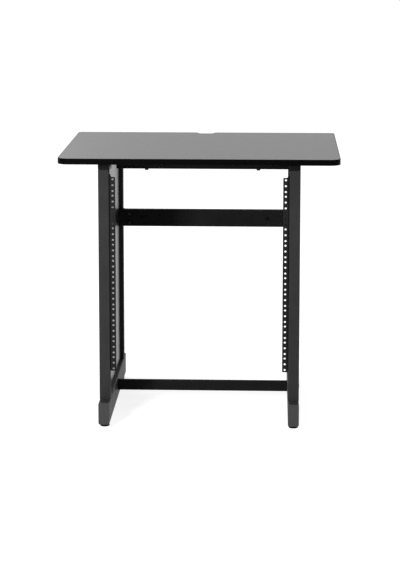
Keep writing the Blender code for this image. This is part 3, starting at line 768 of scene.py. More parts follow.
@dataclass(frozen=True)
class SocketScrew:
    """A screw with a domed head and a hexagon socket.

    Attributes:
        thread: the diameter of its shank.
        height: the height of its head.
        socket: the size of its socket across the flats.
        crown: the radius of the head's top, as a share of the socket's size.
        rim: how high the head is at its side, as a share of its height.
        sink: the socket's depth, as a share of the head's height.
        tip: the chamfer at the end of its shank.
        steps: how many facets go round.
    """

    thread: float
    height: float
    socket: float
    crown: float = 0.72
    rim: float = 0.35
    sink: float = 0.7
    tip: float = 0.8 * MM
    steps: int = 28

    def mesh(self, head: float, length: float) -> Mesh:
        """Return the screw on the Z axis, its head above height 0 and its shank below.

        Args:
            head: the diameter of its head.
            length: the length of its shank.

        Returns:
            The closed screw.
        """
        crown = (self.socket * self.crown, self.height)
        shank = self.thread / 2
        tip = min(self.tip, length / 2)
        profile = dome(crown, (head / 2, self.height * self.rim), ROUND_STEPS)
        profile += [(head / 2, 0.0), (shank, 0.0), (shank, tip - length)]
        profile += [(shank - tip, -length), (0.0, -length)]
        mesh = turned_mesh(profile, self.steps)
        self._cut_socket(mesh)
        return mesh

    def _cut_socket(self, mesh: Mesh) -> None:
        """Sink the socket into the open top of the head.

        Args:
            mesh: the turned screw, upright and with no face on its crown.
        """
        ring = [vert for vert in mesh.verts if vert.is_boundary]
        ring.sort(key=lambda vert: math.atan2(vert.co.y, vert.co.x))
        top = UP * self.height
        corners = circle_of(mesh, top, UP, self.socket / math.sqrt(3), 6)
        flats = list({edge for vert in corners for edge in vert.link_edges})
        fill_between(mesh, top, corners, ring)
        sunk = sweep(mesh, flats, -top * self.sink)
        bmesh.ops.holes_fill(mesh, edges=edges_of(sunk), sides=0)
        bmesh.ops.recalc_face_normals(mesh, faces=mesh.faces)

    def on_node(self, node: str, way: Vector) -> Mesh:
        """Return the screw in the place and size of a CAD bolt.

        Args:
            node: the CAD bolt.
            way: the way that its head points, along an axis.

        Returns:
            The closed screw.
        """
        low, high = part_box(node)
        size = high - low
        reach = abs(size.dot(way))
        across = max(size[axis.value] for axis in Axis if not way[axis.value])
        seat = (low + high) / 2 + way * (reach / 2 - self.height)
        return placed(self.mesh(across, reach - self.height), seat, way)


@dataclass
class SubAssembly:
    """Pieces of the table that are made and dressed together."""

    def keep(
        self, name: str, mesh: Mesh, finish: Finish, nodes: Sequence[str] = (), body: str = "frame"
    ) -> None:
        """Make a mesh a finished piece of the table.

        Args:
            name: the piece's name.
            mesh: its mesh, in the table's own frame; it is freed.
            finish: its finish.
            nodes: the CAD nodes that it stands for.
            body: the CAD body that it rides on.
        """
        data = bpy.data.meshes.new(name)
        mesh.to_mesh(data)
        mesh.free()
        data.shade_smooth()
        data.set_sharp_from_angle(angle=math.radians(SHARP_ANGLE))
        data.materials.append(finish.material())
        piece = bpy.data.objects.new(name, data)
        bpy.context.scene.collection.objects.link(piece)
        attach(piece, body)
        if nodes:
            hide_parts(*nodes)
        weigh = piece.modifiers.new("flat_faces", "WEIGHTED_NORMAL")
        weigh.keep_sharp = True
        LOG.info("%s: %d faces on %s, in %s", name, len(data.polygons), body, finish.name)

    def dress(self, node: str, finish: Finish) -> None:
        """Give a CAD node that stays in the picture its finish.

        Args:
            node: the CAD node.
            finish: its finish.
        """
        thing = frame["nodes"][node]
        thing.data.materials.clear()
        thing.data.materials.append(finish.material())
        LOG.info("%s: the CAD node, in %s", node, finish.name)


@dataclass
class TableTop(SubAssembly):
    """The laminated board, its edge band and the bolts up into it.

    Attributes:
        front_radius: the radius of its front corners.
        rear_radius: the radius of its rear corners.
        corner_steps: how many facets a corner has.
        band: the thickness of the edge band.
        rounding: the radius of the band's outer edges.
        joint: the width of the fine bevel round the board, beside the band.
        mouth: the width of the cable notch at the rear edge.
        floor: its width at its floor.
        depth: its depth.
        mouth_radius: the radius of the corners at its mouth.
        floor_radius: the radius of the corners at its floor.
        bolt: the screws through the crossbar under it.
    """

    front_radius: float = 30 * MM
    rear_radius: float = 10 * MM
    corner_steps: int = 20
    band: float = 2 * MM
    rounding: float = 1.2 * MM
    joint: float = 0.15 * MM
    mouth: float = 54 * MM
    floor: float = 37 * MM
    depth: float = 24 * MM
    mouth_radius: float = 12 * MM
    floor_radius: float = 10 * MM
    bolt: SocketScrew = SocketScrew(6 * MM, 4.5 * MM, 4 * MM)

    def outline(self) -> Mesh:
        """Draw the outline of the top at its underside.

        Returns:
            A mesh of one face with round corners.
        """
        low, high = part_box("tabletop_edge_band")
        floor_y = high.y - self.depth
        corners = (
            (low.x, low.y, self.front_radius),
            (high.x, low.y, self.front_radius),
            (high.x, high.y, self.rear_radius),
            (self.mouth / 2, high.y, self.mouth_radius),
            (self.floor / 2, floor_y, self.floor_radius),
            (-self.floor / 2, floor_y, self.floor_radius),
            (-self.mouth / 2, high.y, self.mouth_radius),
            (low.x, high.y, self.rear_radius),
        )
        mesh = bmesh.new()
        verts = [mesh.verts.new((x, y, low.z)) for x, y, _ in corners]
        mesh.faces.new(verts)
        offsets = []
        for index, vert in enumerate(verts):
            before = verts[index - 1].co - vert.co
            after = verts[(index + 1) % len(verts)].co - vert.co
            offsets.append(corners[index][2] / math.tan(before.angle(after) / 2))
        for vert, offset in zip(verts, offsets):
            round_off(mesh, [vert], offset, self.corner_steps)
        mesh.normal_update()
        return mesh

    def slab(self, kept: slice) -> Mesh:
        """Return the board or its band, as thick as the top.

        Args:
            kept: which of the two: the board's face comes first, the faces of the band after it.

        Returns:
            A closed mesh.
        """
        low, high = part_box("tabletop_edge_band")
        mesh = self.outline()
        board = list(mesh.faces)
        band = bmesh.ops.inset_region(
            mesh, faces=board, thickness=self.band, use_even_offset=True, use_boundary=True
        )["faces"]
        faces = board + band
        stays = set(faces[kept])
        bmesh.ops.delete(mesh, geom=[face for face in faces if face not in stays], context="FACES")
        thicken(mesh, list(mesh.faces), (0, 0, high.z - low.z))
        bmesh.ops.recalc_face_normals(mesh, faces=mesh.faces)
        return mesh

    def board_mesh(self) -> Mesh:
        """Make the board, with a fine bevel beside the band.

        Returns:
            A closed mesh.
        """
        mesh = self.slab(slice(0, 1))
        round_off(mesh, rim_of(faces_towards(mesh, UP)), self.joint, 1)
        return mesh

    @staticmethod
    def is_on(plan: Sequence[Vert], vert: Vert) -> bool:
        """Return whether a vertex stands over or under one of a plan's."""
        return any((vert.co.xy - point.co.xy).length < TOUCH for point in plan)

    def band_mesh(self) -> Mesh:
        """Make the edge band and round its outer edges.

        Returns:
            A closed mesh.
        """
        plan = self.outline()
        outer = list(plan.verts)
        mesh = self.slab(slice(1, None))
        rims = []
        for edge in mesh.edges:
            first, last = edge.verts
            level = abs(first.co.z - last.co.z) < TOUCH
            if level and self.is_on(outer, first) and self.is_on(outer, last):
                rims.append(edge)
        plan.free()
        round_off(mesh, rims, self.rounding, SMALL_ROUND_STEPS)
        return mesh

    def build(self) -> None:
        """Make the board, the band and the bolts."""
        self.keep("laminated_board", self.board_mesh(), LAMINATE, ["tabletop_board"])
        self.keep("board_edge_band", self.band_mesh(), EDGE_BAND, ["tabletop_edge_band"])
        for side in Side:
            node = f"{side.word}_tabletop_bolt"
            mesh = self.bolt.on_node(node, -UP)
            self.keep(f"{side.word}_board_bolt", mesh, BLACK_STEEL, [node])


@dataclass
class Crossbars(SubAssembly):
    """The three bars between the side frames, and what fastens them.

    Attributes:
        wall: the thickness of the tubes.
        radius: the radius of their long edges.
        end_bolt: the bolts through the side frames into the bars' ends.
        mid_bolt: the bolts through the middle bar into its brackets.
        plug_rise: how far a plug's dome stands proud.
        plug_stem: the radius of its stem, as a share of the dome's.
        plug_steps: how many facets its dome has from crown to rim.
    """

    wall: float = 1.5 * MM
    radius: float = 3.5 * MM
    end_bolt: SocketScrew = SocketScrew(6 * MM, 4 * MM, 4 * MM)
    mid_bolt: SocketScrew = SocketScrew(6 * MM, 3.5 * MM, 4 * MM)
    plug_rise: float = 1.5 * MM
    plug_stem: float = 0.6
    plug_steps: int = 9

    def bar(self, node: str) -> None:
        """Make one bar.

        Args:
            node: the CAD bar.
        """
        low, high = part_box(node)
        mesh = with_wall(tube_skin(low, high, Axis.X, self.radius), self.wall)
        # The bar's coat is darkened in part as painted shade from the tabletop above it.
        self.keep(f"{node}_tube", mesh, MATT_COAT_WITH_PAINTED_SHADE, [node])

    def plug_mesh(self, node: str) -> Mesh:
        """Return a domed plug with its short stem.

        Args:
            node: the CAD plug.

        Returns:
            The closed plug, in its place.
        """
        low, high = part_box(node)
        radius = (high.x - low.x) / 2
        stem = radius * self.plug_stem
        depth = high.y - low.y - self.plug_rise
        profile = dome((0.0, self.plug_rise), (radius, 0.0), self.plug_steps)
        mesh = turned_mesh(profile + [(stem, 0.0), (stem, -depth), (0.0, -depth)])
        seat = Vector(((low.x + high.x) / 2, low.y + self.plug_rise, (low.z + high.z) / 2))
        return placed(mesh, seat, TO_USER)

    def build(self) -> None:
        """Make the bars, bolts and plugs."""
        for node in ("top_crossbar", "mid_crossbar", "low_crossbar"):
            self.bar(node)
        for side in Side:
            for bar in ("top_crossbar", "low_crossbar"):
                node = f"{side.word}_{bar}_bolt"
                mesh = self.end_bolt.on_node(node, Vector((side.value, 0, 0)))
                self.keep(f"{node}_socket", mesh, BLACK_STEEL, [node])
                self.dress(f"{side.word}_{bar}_end_plate", MATT_COAT_WITH_PAINTED_SHADE)
            for level in ("lower", "upper"):
                node = f"{side.word}_{level}_mid_crossbar_bolt"
                mesh = self.mid_bolt.on_node(node, TO_USER)
                self.keep(f"{node}_socket", mesh, BLACK_STEEL, [node])
            node = f"{side.word}_mid_crossbar_plug"
            self.keep(f"{node}_dome", self.plug_mesh(node), GLIDE_PLASTIC, [node])


@dataclass
class SideFrame(SubAssembly):
    """A welded side frame with its caps, panel and bracket.

    Attributes:
        side: which of the two it is.
        wall: the thickness of its tubes.
        radius: the radius of their long edges.
        flange: the thickness of a cap's flange.
        cap_rounding: the radius round a cap's face.
        cap_clearance: the gap between a cap's plug and the wall round it.
        foot_cap_radius: the radius of a foot cap's lower corners.
        stem_hole: the radius of the holes for the levelling screws.
        hole_strip: how far from a hole's centre its strip of the underside ends.
        panel_sheet: the thickness of the panel.
        panel_bend: the radius of the panel's corners.
        panel_fold: the radius of the folds round its face.
        panel_steps: how many facets a fold has.
        beam_screw: the screws up through the top beam.
        beam_screw_head: the diameter of their heads.
        beam_screw_places: how far from the middle they are.
        bracket_leg: the length of the bracket's front leg.
        bracket_side_leg: the length of the leg on the column.
        bracket_sheet: the thickness of the bracket.
        bracket_bend: the outer radius of its bend.
        bracket_height: its height.
        nut: the width, height and chamfer of its weld nuts.
        bracket_screw: the screws into the rear column.
        bracket_screw_size: the diameter of their heads and the length of their shanks.
    """

    side: Side
    wall: float = 1.5 * MM
    radius: float = 3.5 * MM
    flange: float = 4 * MM
    cap_rounding: float = 1.5 * MM
    cap_clearance: float = 0.4 * MM
    foot_cap_radius: float = 4.5 * MM
    stem_hole: float = 4.8 * MM
    hole_strip: float = 9.6 * MM
    panel_sheet: float = 1.2 * MM
    panel_bend: float = 2.5 * MM
    panel_fold: float = 2 * MM
    panel_steps: int = 5
    beam_screw: SocketScrew = SocketScrew(4.2 * MM, 2.5 * MM, 2.5 * MM)
    beam_screw_head: float = 9 * MM
    beam_screw_places: Span = (70 * MM, 205 * MM)
    bracket_leg: float = 30 * MM
    bracket_side_leg: float = 28 * MM
    bracket_sheet: float = 3 * MM
    bracket_bend: float = 5 * MM
    bracket_height: float = 42 * MM
    nut: Point = (10 * MM, 5 * MM, 0.5 * MM)
    bracket_screw: SocketScrew = SocketScrew(5 * MM, 2.6 * MM, 3 * MM)
    bracket_screw_size: Span = (9 * MM, 15 * MM)

    def node(self, name: str) -> str:
        """Return the name of a CAD node on this side."""
        return f"{self.side.word}_{name}"

    def columns(self) -> None:
        """Make both columns, welded to the beams."""
        for end in End:
            node = self.node(f"{end.word}_column")
            low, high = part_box(node)
            low.z -= GAP
            high.z += GAP
            mesh = with_wall(tube_skin(low, high, Axis.Z, self.radius), self.wall)
            self.keep(f"{node}_tube", mesh, POWDER_COAT, [node])

    def top_beam(self) -> None:
        """Make the top beam and the screws up through it."""
        node = self.node("top_beam")
        cap_low, cap_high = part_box(self.node("front_beam_cap"))
        reach = -cap_low.y - self.flange - GAP
        low = Vector((cap_low.x, -reach, cap_low.z))
        high = Vector((cap_high.x, reach, cap_high.z))
        mesh = with_wall(tube_skin(low, high, Axis.Y, self.radius), self.wall)
        self.keep(f"{node}_tube", mesh, POWDER_COAT, [node])
        panel_low, panel_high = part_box(self.node("side_panel"))
        inner = low.x if self.side is Side.RIGHT else high.x
        web = panel_low.x if self.side is Side.RIGHT else panel_high.x
        screws = []
        for place in self.beam_screw_places:
            for sign in (-1, 1):
                seat = Vector(((inner + web) / 2, sign * place, low.z))
                screw = self.beam_screw.mesh(self.beam_screw_head, high.z - low.z)
                screws.append(placed(screw, seat, -UP))
        self.keep(f"{node}_screws", joined(screws), BLACK_STEEL)

    def foot_beam(self) -> None:
        """Make the foot beam, with the holes for the levelling screws in its underside."""
        node = self.node("foot_beam")
        low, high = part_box(node)
        skin = tube_skin(low, high, Axis.Y, self.radius)
        for end in End:
            stem_low, stem_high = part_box(self.node(f"{end.word}_leveller_stem"))
            middle = (stem_low + stem_high) / 2
            for sign in (-1, 1):
                under = faces_towards(skin, -UP)
                parts = {part for face in under for part in (*face.verts, *face.edges, face)}
                bmesh.ops.bisect_plane(
                    skin,
                    geom=list(parts),
                    dist=TOUCH,
                    plane_co=(middle.x, middle.y + sign * self.hole_strip, low.z),
                    plane_no=TO_USER,
                )
            punch(skin, Vector((middle.x, middle.y, low.z)), self.stem_hole, TURN_STEPS)
        bmesh.ops.recalc_face_normals(skin, faces=skin.faces)
        self.keep(f"{node}_tube", with_wall(skin, self.wall), POWDER_COAT, [node])

    def cap_mesh(self, node: str, end: End, lower_radius: float) -> Mesh:
        """Return a cap: a rounded flange, and the plug behind it.

        Args:
            node: the CAD cap.
            end: the end of the side frame that it closes.
            lower_radius: the radius of its lower corners.

        Returns:
            The closed cap.
        """
        low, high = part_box(node)
        plug = high.y - low.y - self.flange
        if end is End.FRONT:
            high.y = low.y + self.flange
        else:
            low.y = high.y - self.flange
        mesh = box_mesh(low, high)
        middle = (low.z + high.z) / 2
        lower = [edge for edge in edges_along(mesh, Axis.Y) if edge.verts[0].co.z < middle]
        round_off(mesh, lower, lower_radius)
        top = high.z - TOUCH
        upper = [edge for edge in edges_along(mesh, Axis.Y) if edge.verts[0].co.z > top]
        round_off(mesh, upper, self.radius)
        outward = Vector((0, end.value, 0))
        round_off(mesh, rim_of(faces_towards(mesh, outward)), self.cap_rounding, SMALL_ROUND_STEPS)
        seat = faces_towards(mesh, -outward)
        inset = self.wall + self.cap_clearance
        bmesh.ops.inset_region(mesh, faces=seat, thickness=inset, use_even_offset=True)
        thicken(mesh, seat, -outward * plug)
        bmesh.ops.delete(mesh, geom=seat, context="FACES_ONLY")
        return mesh

    def caps(self) -> None:
        """Make the four caps."""
        kinds = (
            ("foot_cap", self.foot_cap_radius, CAP_PLASTIC),
            ("beam_cap", self.radius, GLIDE_PLASTIC),
        )
        for end in End:
            for kind, lower_radius, plastic in kinds:
                node = self.node(f"{end.word}_{kind}")
                mesh = self.cap_mesh(node, end, lower_radius)
                self.keep(f"{node}_moulding", mesh, plastic, [node])

    def panel(self) -> None:
        """Make the folded panel, its hems turned outwards."""
        node = self.node("side_panel")
        low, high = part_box(node)
        mesh = box_mesh(low, high)
        outward = Vector((self.side.value, 0, 0))
        bmesh.ops.delete(mesh, geom=faces_towards(mesh, outward), context="FACES_ONLY")
        round_off(mesh, edges_along(mesh, Axis.X), self.panel_bend)
        round_off(mesh, rim_of(faces_towards(mesh, -outward)), self.panel_fold, self.panel_steps)
        face_outwards(mesh, -outward)
        self.keep(f"{node}_sheet", with_wall(mesh, self.panel_sheet), PANEL_COAT, [node])

    def bracket(self) -> None:
        """Make the angle behind the middle bar, with its weld nuts and screws."""
        node = self.node("mid_bracket")
        sign = self.side.value
        column_low, column_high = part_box(self.node("rear_column"))
        outer = min(abs(column_low.x), abs(column_high.x)) - GAP
        near = column_low.y
        bolts = [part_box(self.node(f"{level}_mid_crossbar_bolt")) for level in ("lower", "upper")]
        heights = [(low.z + high.z) / 2 for low, high in bolts]
        bottom = sum(heights) / 2 - self.bracket_height / 2
        mesh = bmesh.new()
        bend = (
            (outer, near + self.bracket_side_leg),
            (outer, near),
            (outer - self.bracket_leg, near),
        )
        verts = [mesh.verts.new((sign * x, y, bottom)) for x, y in bend]
        edges = [mesh.edges.new(pair) for pair in zip(verts, verts[1:])]
        sweep(mesh, edges, (0, 0, self.bracket_height))
        fold = [edge for edge in edges_along(mesh, Axis.Z) if len(edge.link_faces) == 2]
        round_off(mesh, fold, self.bracket_bend)
        face_outwards(mesh, Vector((sign, -1, 0)))
        self.keep(f"{node}_angle", with_wall(mesh, self.bracket_sheet), MATT_COAT_WITH_PAINTED_SHADE, [node])

        bolt_x = (bolts[0][0].x + bolts[0][1].x) / 2
        column_y = (column_low.y + column_high.y) / 2
        nuts = []
        screws = []
        for height in heights:
            rear = Vector((bolt_x, near + self.bracket_sheet, height))
            nuts.append(placed(hexagon_nut(*self.nut), rear, -TO_USER))
            inner = Vector((sign * (outer - self.bracket_sheet), column_y, height))
            screw = self.bracket_screw.mesh(*self.bracket_screw_size)
            screws.append(placed(screw, inner, Vector((-sign, 0, 0))))
        self.keep(f"{node}_nuts", joined(nuts), MATT_COAT_WITH_PAINTED_SHADE)
        self.keep(f"{node}_screws", joined(screws), BLACK_STEEL)

    def build(self) -> None:
        """Make the whole side frame."""
        self.columns()
        self.top_beam()
        self.foot_beam()
        self.caps()
        self.panel()
        self.bracket()


@dataclass
class RackRail(SubAssembly):
    """A folded and punched rack rail, and the screws that hold it to its column.

    Attributes:
        side: the side that it is on.
        sheet: the thickness of its sheet.
        bend: the outer radius of its bend.
        relief: how far the side flange stands above the front one.
        free_corner: the radius of the front flange's free corners.
        unit: the height of a rack unit.
        units: how many units it has.
        holes_in_unit: the heights of a unit's three holes.
        hole_spacing: the distance from the holes of one rail to those of the other.
        hole_radius: the radius of a hole.
        hole_steps: how many edges go round it.
        screw: the screws in its side flange.
        screw_size: the diameter of their heads and the length of their shanks.
        screw_setback: how far behind the front they are.
        screw_count: how many there are.
        lowest_screw: how far above its lower end the first one is.
    """

    side: Side
    sheet: float = 2 * MM
    bend: float = 4.5 * MM
    relief: float = 4.5 * MM
    free_corner: float = 3 * MM
    unit: float = 44.45 * MM
    units: int = 12
    holes_in_unit: Point = (6.35 * MM, 22.225 * MM, 38.1 * MM)
    hole_spacing: float = 465.12 * MM
    hole_radius: float = 2.75 * MM
    hole_steps: int = 24
    screw: SocketScrew = SocketScrew(6 * MM, 3 * MM, 4 * MM)
    screw_size: Span = (11 * MM, 14 * MM)
    screw_setback: float = 16 * MM
    screw_count: int = 5
    lowest_screw: float = 44 * MM

    def __post_init__(self) -> None:
        """Read the rail's place from the frame."""
        low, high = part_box(f"{self.side.word}_rack_rail")
        column_low, column_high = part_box(f"{self.side.word}_front_column")
        self.free_edge = min(abs(low.x), abs(high.x))
        self.outside = min(abs(column_low.x), abs(column_high.x)) - GAP
        self.bend_line = self.outside - self.bend
        self.relief_start = self.outside - self.sheet - self.relief
        self.front, self.rear = low.y, high.y
        self.bottom, self.top = low.z, high.z - self.relief

    def hole_heights(self) -> list[float]:
        """Return the height of every hole, unevenly spaced as the standard says."""
        units = [self.bottom + index * self.unit for index in range(self.units)]
        return [start + height for start in units for height in self.holes_in_unit]

    def front_flange(self) -> Mesh:
        """Lay out the left rail's front flange.

        Returns:
            A strip with one face to each hole.
        """
        heights = self.hole_heights()
        levels = [(one + other) / 2 for one, other in zip(heights, heights[1:])] + [self.top]
        mesh = bmesh.new()
        sides = (self.free_edge, self.bend_line)
        row = [mesh.edges.new([mesh.verts.new((-x, self.front, self.bottom)) for x in sides])]
        level = self.bottom
        for higher in levels:
            row = edges_of(sweep(mesh, row, (0, 0, higher - level)))
            level = higher
        return mesh

    def at_top(self, mesh: Mesh) -> list[Vert]:
        """Return the vertices of the upper end."""
        return [vert for vert in mesh.verts if abs(vert.co.z - self.top) < TOUCH]

    def shape_corners(self, mesh: Mesh) -> None:
        """Round the free corners and mark where the relief starts.

        Args:
            mesh: the front flange.
        """
        top = set(self.at_top(mesh))
        upper_edge = next(edge for edge in mesh.edges if all(vert in top for vert in edge.verts))
        inner = min(upper_edge.verts, key=lambda vert: abs(vert.co.x))
        share = (self.relief_start - self.free_edge) / upper_edge.calc_length()
        bmesh.utils.edge_split(upper_edge, inner, share)
        free = [vert for vert in mesh.verts if abs(abs(vert.co.x) - self.free_edge) < TOUCH]
        free.sort(key=lambda vert: vert.co.z)
        for corner in (free[0], free[-1]):
            round_off(mesh, [corner], self.free_corner)

    def fold(self, mesh: Mesh) -> None:
        """Bend the strip round and sweep the side flange back.

        Args:
            mesh: the front flange.
        """
        bent = [vert for vert in mesh.verts if abs(vert.co.x + self.bend_line) < TOUCH]
        edges = [edge for edge in mesh.edges if all(vert in bent for vert in edge.verts)]
        last = bmesh.ops.spin(
            mesh,
            geom=bent + edges,
            cent=(-self.bend_line, self.front + self.bend, 0),
            axis=UP,
            angle=-math.pi / 2,
            steps=ROUND_STEPS,
        )["geom_last"]
        sweep(mesh, edges_of(last), (0, self.rear - self.front - self.bend, 0))
        bmesh.ops.remove_doubles(mesh, verts=mesh.verts, dist=TOUCH)

    def raise_relief(self, mesh: Mesh) -> None:
        """Lift the folded strip's upper end past the relief."""
        for vert in self.at_top(mesh):
            vert.co.z += min(max(abs(vert.co.x) - self.relief_start, 0.0), self.relief)

    def sheet_mesh(self) -> Mesh:
        """Make the rail; the right one is the mirror image of the left one.

        Returns:
            The folded and punched sheet.
        """
        mesh = self.front_flange()
        self.shape_corners(mesh)
        self.fold(mesh)
        self.raise_relief(mesh)
        for height in self.hole_heights():
            centre = Vector((-self.hole_spacing / 2, self.front, height))
            punch(mesh, centre, self.hole_radius, self.hole_steps)
        if self.side is Side.RIGHT:
            bmesh.ops.scale(mesh, vec=(-1, 1, 1), verts=mesh.verts)
        face_outwards(mesh, Vector((self.side.value, -1, 0)))
        return with_wall(mesh, self.sheet)

    def screws_mesh(self) -> Mesh:
        """Make the screws in the side flange.

        Returns:
            One mesh that holds them all.
        """
        sign = self.side.value
        lowest = self.bottom + self.lowest_screw
        highest = self.top - self.holes_in_unit[1]
        inside = sign * (self.outside - self.sheet)
        depth = self.front + self.screw_setback
        screws = []
        for index in range(self.screw_count):
            height = lowest + (highest - lowest) * index / (self.screw_count - 1)
            seat = Vector((inside, depth, height))
            screws.append(placed(self.screw.mesh(*self.screw_size), seat, Vector((-sign, 0, 0))))
        return joined(screws)

    def build(self) -> None:
        """Make the rail and its screws."""
        node = f"{self.side.word}_rack_rail"
        self.keep(f"{node}_sheet", self.sheet_mesh(), RAIL_COAT, [node])
        self.keep(f"{node}_screws", self.screws_mesh(), BLACK_STEEL)


@dataclass
class Leveller(SubAssembly):
    """A levelling foot: a round base on the floor and the threaded stem that turns in it.

    Attributes:
        side: the side that it is on.
        end: the end of the side frame.
        base_round: the radius of the rounds in the base's outline.
        base_inset: how far inside its edge its flat foot ends.
        base_rim: the height at which its upright side ends.
        base_shoulder: how far inside its edge the centre of its upper round is.
        base_slope: the steepness of its sloping top, in degrees from the upright.
        base_undercut: how many degrees of the lower round are left.
        undercut_steps: how many facets that round has.
        base_steps: how many facets go round the base.
        pitch: the pitch of the thread.
        crest: the radius of its crest.
        thread_depth: its depth.
        crest_span: the shares of the pitch between which the crest is.
        steps_in_turn: how many facets a turn of it has.
        collar: the width, height and chamfer of the hexagon collar.
        pin: the radius and length of the pin in the base.
        pin_chamfer: the chamfer at its end.
    """

    side: Side
    end: End
    base_round: float = 1.5 * MM
    base_inset: float = 2 * MM
    base_rim: float = 4 * MM
    base_shoulder: float = 4.5 * MM
    base_slope: float = 50.0
    base_undercut: float = 70.0
    undercut_steps: int = 5
    base_steps: int = 48
    pitch: float = 1.25 * MM
    crest: float = 4 * MM
    thread_depth: float = 0.65 * MM
    crest_span: Span = (0.42, 0.58)
    steps_in_turn: int = 20
    collar: Point = (13 * MM, 2.4 * MM, 0.4 * MM)
    pin: Span = (2.75 * MM, 5 * MM)
    pin_chamfer: float = 0.5 * MM

    @property
    def word(self) -> str:
        """Return the foot's name as the nodes spell it."""
        return f"{self.side.word}_{self.end.word}"

    def foot_centre(self, height: float) -> Vector:
        """Return the point on the foot's axis at a height."""
        low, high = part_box(f"{self.word}_leveller_base")
        return Vector(((low.x + high.x) / 2, (low.y + high.y) / 2, height))

    def base_mesh(self) -> Mesh:
        """Make the moulded base, bored for the pin.

        Returns:
            The closed base, in its place.
        """
        low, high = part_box(f"{self.word}_leveller_base")
        radius = (high.x - low.x) / 2
        height = high.z - low.z
        bore = self.pin[0] + GAP
        small = self.base_round
        side = radius - small
        shoulder = (radius - self.base_shoulder, height - small)
        profile = [(0.0, 0.0), (radius - self.base_inset, 0.0)]
        profile += arc((side, small), small, (-self.base_undercut, 0), self.undercut_steps)
        profile += arc((side, self.base_rim), small, (0, self.base_slope), SMALL_ROUND_STEPS)
        profile += arc(shoulder, small, (self.base_slope, 90), SMALL_ROUND_STEPS)
        profile += [(bore, height), (bore, height - self.pin[1]), (0.0, height - self.pin[1])]
        return placed(turned_mesh(profile, self.base_steps), self.foot_centre(low.z))

    def thread_mesh(self, length: float) -> Mesh:
        """Return a threaded rod that stands on height 0.

        Args:
            length: its length.

        Returns:
            The closed rod.
        """
        turns = math.ceil(length / self.pitch) + 2
        root = self.crest - self.thread_depth
        rise, fall = (self.pitch * share for share in self.crest_span)
        ridge = ((root, 0.0), (self.crest, rise), (self.crest, fall), (root, self.pitch))
        mesh = bmesh.new()
        verts = [mesh.verts.new((radius, 0.0, height - self.pitch)) for radius, height in ridge]
        edges = [mesh.edges.new(pair) for pair in zip(verts, verts[1:])]
        bmesh.ops.spin(
            mesh,
            geom=verts + edges,
            cent=(0, 0, 0),
            axis=UP,
            dvec=UP * (self.pitch / self.steps_in_turn),
            angle=2 * math.pi * turns,
            steps=self.steps_in_turn * turns,
        )
        bmesh.ops.remove_doubles(mesh, verts=mesh.verts, dist=TOUCH)
        for height, way in ((0.0, -UP), (length, UP)):
            cut = bmesh.ops.bisect_plane(
                mesh,
                geom=[*mesh.verts, *mesh.edges, *mesh.faces],
                dist=TOUCH,
                plane_co=UP * height,
                plane_no=way,
                clear_outer=True,
            )["geom_cut"]
            bmesh.ops.holes_fill(mesh, edges=edges_of(cut), sides=0)
        bmesh.ops.recalc_face_normals(mesh, faces=mesh.faces)
        return mesh

    def stem_mesh(self) -> Mesh:
        """Make the pin, the collar and the threaded rod.

        Returns:
            One mesh that holds all three, in their place.
        """
        low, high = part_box(f"{self.word}_leveller_stem")
        radius, length = self.pin
        tip = self.pin_chamfer
        pin = [(0.0, 0.0), (radius - tip, 0.0), (radius, tip), (radius, length), (0.0, length)]
        collar_foot = low.z + length
        rod_foot = collar_foot + self.collar[1]
        return joined(
            [
                placed(turned_mesh(pin), self.foot_centre(low.z)),
                placed(hexagon_nut(*self.collar), self.foot_centre(collar_foot)),
                placed(self.thread_mesh(high.z - rod_foot), self.foot_centre(rod_foot)),
            ]
        )

    def build(self) -> None:
        """Make the base and the stem, each on its own body."""
        base = f"{self.word}_leveller_base"
        stem = f"{self.word}_leveller_stem"
        self.keep(f"{base}_moulding", self.base_mesh(), GLIDE_PLASTIC, [base], f"{self.word}_glide")
        self.keep(f"{stem}_thread", self.stem_mesh(), ZINC_STEEL, [stem], f"{self.word}_screw")
        self.dress(f"{self.word}_weld_nut", ZINC_STEEL)


@dataclass(frozen=True)
class SoftLight:
    """A large square lamp that points at the middle of the table.

    Attributes:
        name: the lamp's name.
        place: where it is.
        size: the length of its sides.
        power: its power in watts.
    """

    name: str
    place: Point
    size: float
    power: float

    def build(self, target: Vector) -> None:
        """Make the lamp.

        Args:
            target: what it points at.
        """
        data = bpy.data.lights.new(self.name, "AREA")
        data.shape = "SQUARE"
        data.size = self.size
        data.energy = self.power
        lamp = bpy.data.objects.new(self.name, data)
        lamp.location = self.place
        lamp.rotation_euler = (target - lamp.location).to_track_quat("-Z", "Y").to_euler()
        bpy.context.scene.collection.objects.link(lamp)


